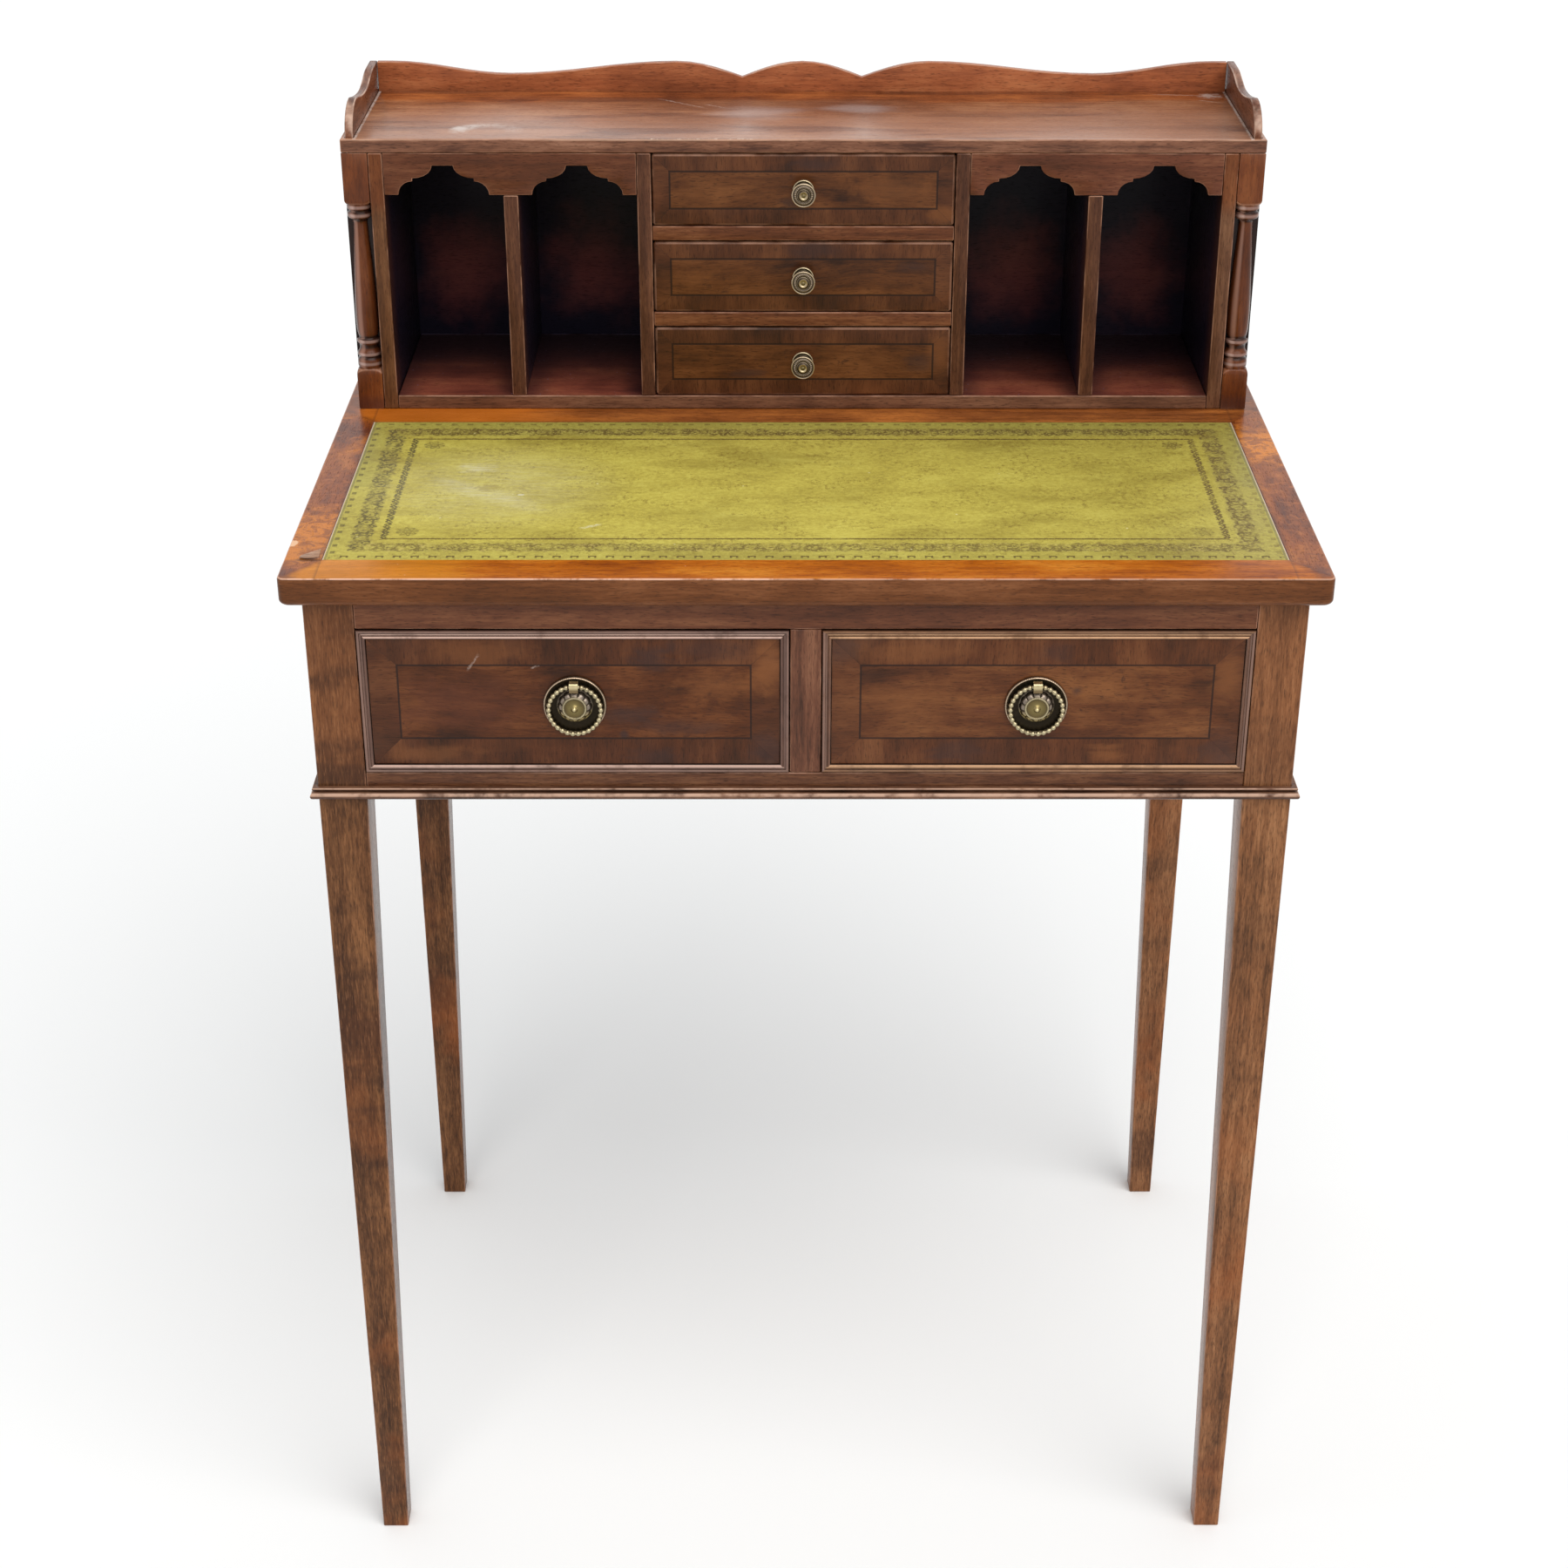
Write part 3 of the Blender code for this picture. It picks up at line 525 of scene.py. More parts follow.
def pigeonhole_floor(seed):
    """The board under the pigeonholes: brown at its front edge, red-brown and then black further in as
    painted shade.
    """
    x, y, z = Net("pigeonhole_floor").place()
    parts = grain(x, y, z, seed, 0.8)
    shade = wood_shade(((74, 46, 32), (109, 72, 52), (140, 98, 72)), parts, 0.8, 0.5)
    floor = wood_shade(((88, 42, 34), (124, 64, 48), (152, 88, 62)), parts, 0.5, 0.8)
    cloud = noise(x * 30, y * 30, z, 3, 0.6)
    # Painted shade: darker deeper in, and along the sides of each pigeonhole.
    inward = step(y + (cloud - 0.5) * 0.03, case_front + 0.004, case_front + 0.105)
    floor = tint(floor, inward * 0.95, 34, 23, 28)
    floor = tint(floor, step(abs(from_hole(x)), 0.02, 0.038) * 0.55, 38, 24, 30)
    crumbs = step(cells(x * 120, y * 120), 0.075, 0.05)
    by_back = step(y, back_board_front - 0.0095, back_board_front - 0.006)
    sweepings = by_back * step(noise(x * 70, y * 90, z, 3, 0.6), 0.35, 0.6)
    floor = tint(floor, most(crumbs * 0.5, sweepings * 0.6), 122, 112, 138)
    shade = mix(step(y, case_front, case_front + 0.002), rubbed(shade, seed, 0.6), floor)
    return polished(shade, parts, 0.36, relief=0.22, coat=0.6)


def scratch(x, z, mark):
    """A faint crooked line. A mark is its middle, its lean, its length and its half width."""
    mark_x, mark_z, lean, length, half_width = mark
    along = (x - mark_x) * cos(lean) + (z - mark_z) * sin(lean)
    off = (z - mark_z) * cos(lean) - (x - mark_x) * sin(lean)
    wavy = off + (noise(x * 240, 0, z * 240) - 0.5) * 0.003
    broken = step(noise(x * 640, 3, z * 640, 3, 0.7), 0.3, 0.66)
    return line(along, length * 0.25, length * 0.3) * line(wavy, half_width, half_width * 2.5) * broken


def case_top_wood():
    """The top of the case: a painted orange reflection of the gallery by it, a painted sheen along the front,
    and a curved scuff.
    """
    net, (low, high) = Net("case_top"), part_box("case_top")
    x, y, z = net.place()
    parts = grain(x, y, z, 5, 1)
    shade = wood_shade(((108, 62, 38), (155, 98, 63), (190, 134, 94)), parts, 0.9, 0.8)
    ragged = noise(x * 9, y * 40, z * 9, 4, 0.6)
    # Painted reflection of the gallery: orange wood near the back.
    behind = step(y + (ragged - 0.5) * 0.05, high.y - 0.045, high.y - 0.03)
    orange = wood_shade(((92, 42, 18), (150, 78, 36), (196, 112, 52)), parts, 1, 1.2)
    shade = mix(behind * 0.85, shade, orange)
    # Painted sheen: paler towards the front.
    shade = tint(shade, step(y + (ragged - 0.5) * 0.07, high.y - 0.035, low.y + 0.03) * 0.5, 188, 138, 110)

    smoke = noise(x * 6 + 3.1, y * 34, z, 5, 0.62)
    shade = tint(shade, step(smoke, 0.5, 0.66) * 0.62, 88, 52, 40)
    dusk = step(reach((x + 0.01) / 0.115, (y - 0.168) / 0.02) + (smoke - 0.5) * 2.4, 1.3, 0.3)
    shade = tint(shade, dusk * 0.42, 96, 60, 48)
    frayed = (ragged - 0.5) * 0.03
    cloudy = step(((x + 0.03) ** 2 * 0.25 + (y - 0.146) ** 2) ** 0.5 + frayed, 0.022, 0.004)
    other = step(((x - 0.042) ** 2 * 0.3 + (y - 0.156) ** 2) ** 0.5 + frayed, 0.018, 0.004)
    shade = tint(shade, most(cloudy, other * 0.8) * 0.52, 206, 186, 180)

    blur = noise(x * 210, y * 210, z, 4, 0.75)
    scuff_x, scuff_y = x + 0.212, y - 0.094
    start = step(scuff_x, 0.014, -0.02)
    arch = line(reach(scuff_x, scuff_y) - 0.019, 0.0014, 0.0075)
    scuff = arch * step(scuff_y, -0.006, 0.006) * (0.25 + start * 0.65)
    blob = step(reach(x + 0.2305, y - 0.104) + (blur - 0.5) * 0.008, 0.0085, 0.002)
    corner = reach((x - 0.286) * 0.8, y - 0.196) + (blur - 0.5) * 0.02
    scuff = most(most(scuff * step(blur, 0.3, 0.62), blob), step(corner, 0.008, 0.0025) * 0.75)
    shade = tint(shade, scuff * 0.9, 218, 202, 192)
    for mark in (
        (-0.084, 0.1742, -0.68, 0.046, 0.0003), (-0.06, 0.166, -0.6, 0.02, 0.0003),
        (0.262, 0.199, -0.1, 0.034, 0.0004), (0.284, 0.18, -0.5, 0.02, 0.0003),
    ):
        shade = tint(shade, scratch(x, y, mark) * 0.55, 226, 208, 196)

    shade = tint(shade, line(y - gallery_front, 0.0004, 0.0007) * 0.7, 52, 26, 18)
    dust = line(gallery_inside - abs(x) - 0.0008, 0.0007, 0.0008) * step(blur, 0.32, 0.54)
    shade = tint(shade, dust * 0.8, 222, 206, 196)
    crack_from, crack_to = -0.104, -0.04
    along = step(x, crack_from - 0.004, crack_from) * step(x, crack_to + 0.012, crack_to)
    crack = line(y - low.y - 0.0026 - (blur - 0.5) * 0.0012, 0.0003, 0.0005) * along
    shade = tint(shade, crack * 0.8, 40, 22, 16)
    chips = line(y - low.y - 0.0014, 0.0006, 0.0008) * along * step(blur, 0.5, 0.6)
    shade = tint(shade, chips * 0.75, 230, 200, 176)
    side = wood_shade(((76, 46, 35), (122, 80, 60), (152, 108, 86)), parts, 0.9, 0.7)
    shade = mix(step(net.facing()[2], 0.6, 0.9), side, shade)
    # A broken pale line along the front arris: wear and a painted highlight.
    arris = step(z, high.z - 0.0013, high.z - 0.0005) * step(y, low.y + 0.001, low.y + 0.0004)
    shade = tint(shade, arris * step(ragged, 0.4, 0.6) * 0.4, 212, 176, 150)
    return polished(rubbed(shade, 5, 0.7), parts, 0.34, relief=0.18, coat=0.8)


def desk_top_wood():
    """Strips round the leather: orange in front and behind, burr-like at the sides, mitred at the corners."""
    net = Net("desk_top")
    x, y, z = net.place()
    out = (abs(x) - leather_half) / (top_half - leather_half)
    forward = (leather_front - y) / (leather_front - top_front)
    backward = (y - leather_back) / top_back_strip
    ends = most(forward, backward)
    side = out > ends
    parts = grain(either(side, x, y + 0.37), either(side, y, x), z, 9, 1.3)
    front = wood_shade(((128, 56, 6), (184, 98, 14), (216, 136, 42)), parts, 0.8, 0.55)
    back = wood_shade(((92, 44, 14), (140, 78, 34), (188, 112, 50)), parts, 0.8, 0.8)
    bright = noise(x * 12, y * 60, z, 3, 0.6)
    front = tint(front, step(x + (bright - 0.5) * 0.1, -0.19, -0.24) * 0.42, 226, 150, 36)
    # A painted highlight on the left end of the back strip.
    back = tint(back, step(x + (bright - 0.5) * 0.14, -0.12, -0.23) * 0.55, 218, 118, 26)

    flank = wood_shade(((96, 42, 14), (142, 72, 24), (174, 102, 46)), parts, 0.7, 1)
    burr = noise(x * 95 + 1.7, y * 110, z, 5, 0.72, 0.8)
    flank = tint(flank, step(burr, 0.53, 0.68) * 0.6, 88, 42, 24)
    flank = tint(flank, step(burr, 0.47, 0.34) * 0.5, 190, 112, 54)
    flank = tint(flank, step(noise(x * 260, y * 260, 3, 3, 0.7), 0.6, 0.7) * 0.5, 66, 36, 26)
    glow = noise(x * 16 + 2, y * 22, z, 3, 0.55)
    near = step(y + (burr - 0.5) * 0.05, -0.095, -0.135) * step(y, -0.206, -0.19) * (x < 0)
    # The golden patch on the right strip is a painted highlight.
    far = step(abs(y - 0.004) + (burr - 0.5) * 0.03, 0.045, 0.01) * (x > 0)
    golden = mix(step(burr, 0.46, 0.58) * 0.75, tone(222, 132, 24), tone(142, 74, 20))
    flank = mix(most(step(glow, 0.54, 0.7) * 0.4, most(near * 0.7, far * 0.85)), flank, golden)
    shade = mix(step(out - ends, -0.3, 0.1), mix(backward > 0, front, back), flank)

    mitre_width = 0.0165
    mitre = line((out - ends) * mitre_width, 0.0001, 0.0004) * (ends > 0)
    shade = tint(shade, mitre * 0.25, 70, 34, 20)
    soot = noise(x * 60, y * 60, z, 4, 0.65)
    corner = step(least(out, ends), 0.3, 0.75) * (ends > 0)
    shade = tint(shade, corner * step(soot, 0.34, 0.54) * 0.65, 92, 54, 46)
    shade = tint(shade, step(out, 0.1, 0) * step(out, -0.02, 0) * 0.35, 74, 42, 26)
    # A painted shadow under the lifted flake of veneer.
    under = step(reach((x + 0.3025) / 0.009, (y + 0.1915) / 0.003), 1.2, 0.5)
    shade = tint(shade, under * 0.7, 50, 26, 18)
    ragged = noise(x * 420, y * 420, z * 420, 3, 0.7)
    chip = reach((x + 0.3165) / 0.0042, (y + 0.1655) / 0.0052) + (ragged - 0.5) * 1.3
    shade = tint(shade, step(chip, 1.05, 0.85), 236, 186, 142)
    shade = tint(shade, step(cells(x * 55, y * 55), 0.035, 0.015) * 0.6, 222, 170, 140)

    edge_parts = grain(either(abs(net.facing()[0]) > 0.7, x, y), z, y * 0.2, 10, 0.5)
    rim = wood_shade(((70, 38, 16), (101, 57, 27), (134, 84, 50)), edge_parts, 0.65, 0.45)
    shade = mix(step(net.facing()[2], 0.55, 0.9), rim, shade)
    # A broken pale line along the top arris: wear and a painted highlight.
    arris = step(z, top_height - 0.0013, top_height - 0.0005) * step(z, top_height, top_height - 0.0004)
    broken = noise(x * 60, y * 60, 7, 4, 0.7)
    shade = tint(shade, arris * step(broken, 0.3, 0.52) * either(x > -0.02, 0.85, 0.45), 236, 190, 164)
    return polished(shade, parts, 0.34, relief=0.16, coat=0.6)


def from_edges(at, x, z):
    """A point's distance from a panel's sides, its ends and the nearer of them, and 1 if a side is nearer."""
    from_side, from_end = at.half_x - abs(x - at.x), at.half_z - abs(z - at.z)
    return from_side, from_end, least(from_side, from_end), from_side < from_end


def veneered(node, band, string, seed, centre_tones, band_tones, stains, marks=()):
    """A drawer front: a clouded panel inside a dark string, and a plain mitred crossband round it."""
    net, at = Net(node), Span(node)
    large = band > small_band
    x, y, z = net.place()
    from_side, from_end, inward, at_side = from_edges(at, x, z)
    panel = grain(x, z, y, seed, 2.4)
    cross = grain(either(at_side, z, x), either(at_side, x, z + 0.21), y, seed + 3, 1)
    inner = wood_shade(centre_tones, panel, 0.6, 1)
    swirl = noise(x * 22 + seed * 1.7, y, z * 40, 5, 0.6, 1.6)
    inner = tint(inner, step(swirl, 0.54, 0.74) * 0.27, 54, 32, 25)
    inner = tint(inner, step(swirl, 0.46, 0.28) * 0.2, 120, 72, 38)
    burr = noise(x * 120 + seed * 2.3, y, z * 150, 4, 0.7, 1)
    crowd = step(noise(x * 24 - seed, y, z * 40 + seed, 3, 0.5), 0.48, 0.64)
    inner = tint(inner, step(burr, 0.56, 0.68) * crowd * 0.55, 46, 27, 22)
    outer = wood_shade(band_tones, cross, 0.45, 0.9)
    shadow = noise(x * 20 + seed * 4.1, y, z * 26, 4, 0.6, 0.6)
    outer = tint(outer, step(shadow, 0.52, 0.72) * 0.27, 56, 37, 32)
    outer = tint(outer, step(shadow, 0.46, 0.28) * 0.2, 116, 66, 36)
    banded = inward < band
    shade = mix(banded, inner, outer)
    for *lengths, weight, stain_tone in stains:
        stain_x, stain_z, wide, tall = (length / 1000 for length in lengths)
        away = reach((x - at.x - stain_x) / wide, (z - at.z - stain_z) / tall)
        away = away + (swirl - 0.5) * 2.6 + (burr - 0.5) * 0.8
        shade = tint(shade, step(away, 1.45, 0.2) * weight, *stain_tone)
    mitre = line(from_side - from_end, 0.00012, 0.0004) * banded
    shade = tint(shade, mitre * 0.28, 48, 28, 22)
    inlay = line(inward - band, string / 2, 0.00032)
    shade = tint(shade, inlay * 0.8, 32, 20, 16)
    for mark in marks:
        shade = tint(shade, scratch(x, z, mark) * 0.36, 204, 182, 170)
    # Darker along the edges of the front.
    edge_darkening = step(inward, 0.0066, 0.005) if large else step(inward, 0.0016, 0)
    shade = rubbed(tint(shade, edge_darkening * 0.45, 48, 28, 20), seed, 0.6 if large else 0.35)
    height = cross[1] * 0.3 - inlay * 0.8 - mitre * 0.4 + panel[0] * 0.2
    roughness = 0.36 + (panel[1] - 0.5) * 0.12 + (shadow - 0.5) * 0.2
    return finish(shade, roughness, height, strength=0.25, depth=0.0003, Coat_Weight=0.6, **varnish)


def in_lengths(net, seed, coarse, fine, low):
    """1 in the broken lengths of an edging that are rubbed bright and carry a painted highlight."""
    return step(net.clouds(coarse, seed, 4, 0.68) + (net.clouds(fine, seed, 2) - 0.5) * 0.25, low, low + 0.26)


def reeded_wood(side, tones, seed, crest_wear_and_highlight, flank):
    """A cock bead's two reeds: the inner one bright above and below from wear and painted highlight, the
    outer one dark.
    """
    net = Net("reeds_" + side)
    x, y, z = net.place()
    inward, at_side = from_edges(Span("cock_bead_" + side), x, z)[2:]
    parts = grain(either(at_side, x, z), either(at_side, z, x), y, seed, 0.6)
    shade = wood_shade(tones, parts, 0.8, 0.8)
    forward = 0 - net.facing()[1]
    worn = in_lengths(net, seed, 36, 190, 0.26)
    inner = step(inward, 0.0026, 0.003)
    # How much painted highlight each reed gets, laid on in worn lengths.
    painted_light = either(at_side, 0.22 + inner * 0.73, 0.55 - inner * 0.35)
    bright = mix(at_side, tone(*crest_wear_and_highlight), tone(*flank))
    shade = mix(step(forward, 0.45, 0.9) * painted_light * (0.35 + worn * 0.65), shade, bright)
    # Painted shade on faces turned from the front and on the bead's inner edge.
    groove = most(step(forward, 0.5, 0.1), step(inward, 0.005, 0.0055))
    return polished(tint(shade, groove * 0.75, 30, 18, 15), parts, 0.34)


def bead_wood(name, tones, seed, crest_wear_and_highlight):
    """Moulded edging: upper sides bright in broken lengths from wear and painted highlight, undersides in
    painted shade.
    """
    net = Net(name)
    x, y, z = net.place()
    upward = net.facing()[2]
    parts = grain(x, z, y, seed, 0.6)
    shade = wood_shade(tones, parts, 1, 0.8)
    painted_light = step(upward, -0.2, 0.4) * step(abs(upward), 1, 0.75)
    bright = in_lengths(net, seed, 42, 160, 0.3)
    shade = tint(shade, painted_light * bright * 0.75, *crest_wear_and_highlight)
    # Painted shade on the undersides.
    shade = tint(shade, step(upward, -0.35, -0.8) * 0.6, 44, 26, 20)
    return polished(shade, parts, 0.34)


def bare_wood(name, axis, seed):
    """Unpolished lining wood, grey with dust and handling."""
    net = Net(name)
    parts = grain(*net.along(axis), seed, 0.8)
    shade = wood_shade(pale_tones, parts, 0.9, 0.8)
    shade = tint(shade, step(net.clouds(14, seed, 4, 0.6), 0.5, 0.72) * 0.5, 104, 82, 60)
    return polished(rubbed(shade, seed, 0.35, (204, 176, 138)), parts, 0.62, relief=0.35, coat=0)


# Leather

def tooled_leather():
    """Worn olive hide, its tooled border a row of dashes, a band of scrolls, a cord and corner flowers."""
    x, y = Net("tooled_leather").place()[:2]
    at = Span("leather_inset")
    half_x, half_y = at.half_x * 1000, at.half_y * 1000
    across, deep = (x - at.x) * 1000, (y - at.y) * 1000

    def blur(scale_x, scale_y, layer, detail, roughness):
        return noise(across * scale_x, deep * scale_y, layer, detail, roughness)

    from_side, from_end = half_x - abs(across), half_y - abs(deep)
    at_side = from_side < from_end
    v = least(from_side, from_end)
    u = either(at_side, across, deep) + 600
    front, rear_side, right_side = deep < 0, deep > 0, across > 0
    kept = step(blur(0.035, 0.035, 0, 3, 0.6), 0.28, 0.52)
    rough = blur(1.3, 1.3, 3, 3, 0.7)
    worn = step(rough, 0.36, 0.5)

    beat = u % 10.8 - 5.4
    bar = line(beat, 1.7, 0.6) * line(v - 4.6, 1.2, 0.6)
    arch = line(beat, 2.2, 0.5) * line(v - 5.5, 0.55, 0.5)
    arched = most(arch, line(abs(beat) - 1.9, 0.45, 0.45) * line(v - 4.3, 1.2, 0.5))
    stamped = either(front, bar * 0.6, arched)
    dash = either(at_side, stamped, bar * either(right_side, 0.75, 0.42)) * (0.5 + worn * 0.5)

    repeat = 13
    pulled_u = u + (blur(0.24, 0.24, 7, 3, 0.6) - 0.5) * 7
    pulled_v = v - 19.4 + (blur(0.24, 0.24, 17, 3, 0.6) - 0.5) * 7
    knot = pulled_u % repeat - repeat / 2
    from_knot = reach(knot, pulled_v)
    from_leaf = reach(repeat / 2 - abs(knot), abs(pulled_v) - 3.9)
    scroll = most(line(from_knot - 4.3, 0.75, 0.6), step(from_knot, 1.9, 1))
    scroll = most(scroll, line(from_leaf - 1.9, 0.65, 0.6))
    in_band = line(pulled_v, 5.6, 2)
    lace = blur(0.62, 0.62, 5, 4, 0.72)
    blot = step(blur(0.11, 0.11, 5, 3, 0.65), 0.36, 0.58)
    heavy = either(at_side, either(rear_side, 0.78, 0.95), 0.88)
    crumbs = step(lace, 0.5, 0.6) * in_band * either(at_side, 0.85, 0.5)
    scroll = most(scroll * step(lace, 0.34, 0.48), crumbs) * (0.32 + blot * 0.68) * heavy
    haze = in_band * (0.06 + blot * 0.22) * heavy
    gaps = in_band * step(lace, 0.48, 0.36) * either(at_side, 0.45, 0.2)

    turn = u * (2 * pi / 8.4)
    wobble = v - 33 + (lace - 0.5) * 2.6
    twist = line(wobble - math("SINE", turn) * 1.5, 0.75, 0.5)
    strands = most(twist, line(wobble - math("SINE", turn + 2.4) * 1.5, 0.75, 0.5))
    thin = line(wobble, 0.75, 0.55) * step(lace, 0.34, 0.46)
    cord = either(at_side, thin, strands * step(lace, 0.36, 0.5)) * (0.45 + kept * 0.55)

    flower_x, flower_y = half_x - 46.5 - abs(across), half_y - 44.5 - abs(deep)
    away = reach(flower_x, flower_y)
    petal = 5 + math("SINE", math("ARCTAN2", flower_y, flower_x) * 8) * 1.5
    flower = line(away - petal, 0.55, 0.5) + line(away - 2.4, 0.6, 0.5) + step(away, 1.2, 0.7)
    flower = least(flower + step(away, 7.4, 6.6) * 0.35, 1) * (0.45 + worn * 0.4) * (0.4 + kept * 0.6)

    mottle = blur(0.026, 0.034, 1, 5, 0.6)
    fine = blur(0.26, 0.34, 2, 5, 0.74)
    shade = ramp(mottle * 0.6 + fine * 0.95 - 0.28, (
        (0.26, 162, 146, 66), (0.44, 186, 170, 74), (0.58, 200, 186, 84), (0.78, 210, 199, 100),
    ))
    stain = noise(across * 0.012 + 4, deep * 0.03, 4, 4, 0.6)
    rear = step(deep, 20, 110)
    right = step(across, 60, 240)
    shade = tint(shade, step(stain, 0.46, 0.7) * 0.5 + rear * 0.22 + right * 0.18, 138, 120, 46)
    shade = tint(shade, step(v, 34, 4) * (0.45 - front * 0.22), 138, 132, 66)
    grainy = blur(0.3, 0.24, 6, 7, 0.82)
    crowd = noise(across * 0.032 + 2, deep * 0.055, 9, 4, 0.62) + rear * 0.05 + right * 0.06
    shade = tint(shade, step(grainy, 0.51, 0.6) * step(crowd, 0.44, 0.6) * 0.62, 116, 92, 38)
    shade = tint(shade, step(grainy, 0.47, 0.36) * 0.3, 218, 208, 106)
    shade = tint(shade, haze, 104, 86, 48)
    shade = tint(shade, gaps, 208, 190, 118)
    dark = mix(at_side, tone(84, 64, 30), mix(right_side, tone(62, 50, 36), tone(84, 60, 34)))
    marks = most(most(dash, scroll), most(cord, flower * 0.9))
    shade = mix(marks * 0.86, shade, dark)
    bald = step(noise(across * 0.13 + 3, deep * 0.13, 2, 3, 0.6), 0.58, 0.7)
    shade = tint(shade, bald * line(v - 18, 6, 4) * front * (1 - at_side) * 0.6, 206, 184, 104)

    brushed = step(blur(0.05, 0.5, 8, 4, 0.66), 0.4, 0.66)
    block = step(abs(across + 214), 20, 8) * step(abs(deep - 33 + (fine - 0.5) * 12), 14, 2)
    along = across + 206
    sweep = step(abs(along), 62, 10) * step(abs(deep + 12 + along * 0.62 + (fine - 0.5) * 16), 26, 2)
    veil = step(reach((across + 205) / 90, deep / 80), 1.15, 0.2)
    pale = most(block * (0.2 + brushed * 0.55), sweep * (0.26 + brushed * 0.3))
    pale = most(pale, veil * (0.12 + brushed * 0.18))
    pale = most(pale, scratch(x, y, (-0.134, at.y - 0.067, 0.5, 0.016, 0.0006)) * 0.7)
    dot = reach((across + 182) / 2.6, (deep + 14) / 1.8)
    pale = most(pale, step(dot + (rough - 0.5), 1.1, 0.6) * 0.8)
    shade = tint(shade, pale, 222, 216, 186)
    spot = reach((across + 204) / 9, (deep + 2) / 7)
    shade = tint(shade, step(spot + (fine - 0.5) * 3, 1.3, 0.5) * 0.32, 120, 92, 54)
    shade = tint(shade, step(cells(across * 0.045, deep * 0.045), 0.045, 0.02) * 0.7, 234, 226, 176)
    shade = tint(shade, step(from_side, 1, 0.5) * (0.6 + worn * 0.4), 206, 184, 168)
    shade = tint(shade, line(from_side - 1.7, 0.35, 0.5) * 0.5, 96, 92, 74)
    pebbles = cells(across * 1.1, deep * 1.1)
    height = pebbles * 0.35 + fine * 0.35 - marks * 0.8
    roughness = 0.5 + (mottle - 0.5) * 0.2 + marks * 0.1 + (pebbles - 0.5) * 0.08
    return finish(shade, roughness, height, strength=0.3, depth=0.0004, Specular_IOR_Level=0.3)


# Brass

def brass_finish(shade, hollow, fine, patches):
    shade = tint(shade, step(patches, 0.5, 0.72) * 0.3, 70, 58, 44)
    roughness = 0.34 + (fine - 0.5) * 0.18 + (1 - hollow) * 0.3
    return finish(shade, roughness, fine * 0.6 + patches * 0.4, strength=0.18, depth=0.0002, Metallic=1)


def brass_signs(net, seed):
    """How open a point is, and fine and broad noise."""
    hollow = net.node("AmbientOcclusion", "AO", {"Distance": 0.003}, samples=8, only_local=True)
    fine = net.clouds(900, seed, 4, 0.65)
    return step(hollow + (fine - 0.5) * 0.22, 0.4, 1), fine, net.clouds(160, seed, 3, 0.6)


def ring_brass(side, seed):
    """Antique brass: nearly black in its hollows, and bright where it is rubbed."""
    signs = brass_signs(Net("ring_brass_" + side), seed)
    levels = ((0, 26, 22, 16), (0.42, 86, 76, 56), (0.78, 146, 132, 102), (1, 178, 166, 134))
    return brass_finish(ramp(signs[0], levels), *signs)


def plate_brass(side, seed):
    """A plate's brass: bright point, olive dish, grey petals with painted light below, black field, pale rim,
    golden eye lit on top.
    """
    net, at = Net("plate_brass_" + side), Span("pull_plate_" + side)
    x, y, z = net.place()
    across, up = (x - at.x) * 1000, (z - at.z) * 1000
    out = (at.high.y - y) * 1000
    away = reach(across, up)
    signs = brass_signs(net, seed)
    hollow, fine = signs[:2]
    shade = ramp((away + (fine - 0.5) * 0.8) / 20, (
        (0, 214, 198, 154), (0.07, 196, 178, 128), (0.11, 126, 112, 72), (0.27, 104, 90, 58),
        (0.31, 86, 74, 52), (0.345, 176, 164, 130), (0.38, 128, 116, 100), (0.46, 136, 124, 114),
        (0.53, 108, 97, 84), (0.565, 36, 31, 24), (0.87, 50, 43, 33), (0.9, 96, 82, 64),
        (0.925, 196, 176, 150), (0.955, 176, 154, 132), (0.985, 104, 90, 70),
    ))
    petals = step(away, 7.2, 7.8) * step(away, 11.2, 10.8)
    # Painted light: the lower petals lit golden.
    shade = tint(shade, petals * step(up, -1, -6) * 0.6, 168, 148, 88)
    eye_top, eye_foot = 17, 11
    eye = step(out, 2.7, 3.1) * step(away, 10.4, 11)
    # Painted light: the eye paler on top and darker below.
    painted_light = step(up, eye_foot + 1.6, eye_top - 1.8)
    shade = mix(eye, shade, mix(painted_light, tone(122, 104, 76), tone(200, 184, 142)))
    shade = tint(shade, step(hollow, 0.75, 0.1) * (0.75 - petals * 0.3), 24, 20, 15)
    return brass_finish(shade, *signs)


def knob_brass(word, seed):
    """Antique brass on a knob: a pale rim round a pewter face, a bright button, and a dark neck."""
    net, at = Net("knob_brass_" + word), Span("knob_" + word)
    x, y, z = net.place()
    away = reach(x - at.x, z - at.z) / at.half_x
    out = (at.high.y - y) / (at.high.y - at.low.y)
    signs = brass_signs(net, seed)
    face = ramp(away, (
        (0, 124, 112, 80), (0.16, 108, 95, 68), (0.22, 184, 168, 134), (0.32, 170, 152, 122),
        (0.38, 74, 63, 52), (0.44, 88, 76, 64), (0.5, 156, 140, 118), (0.58, 96, 84, 72),
        (0.68, 132, 118, 102), (0.86, 76, 66, 57), (0.92, 170, 152, 130), (0.98, 206, 188, 160),
    ))
    behind = ramp(away, ((0.4, 38, 32, 26), (0.7, 58, 50, 38), (0.8, 146, 131, 104), (0.89, 200, 183, 150)))
    shade = mix(step(out, 0.68, 0.74), behind, face)
    shade = tint(shade, step(signs[0], 0.8, 0.15) * 0.7, 26, 22, 17)
    return brass_finish(shade, *signs)


# Forms

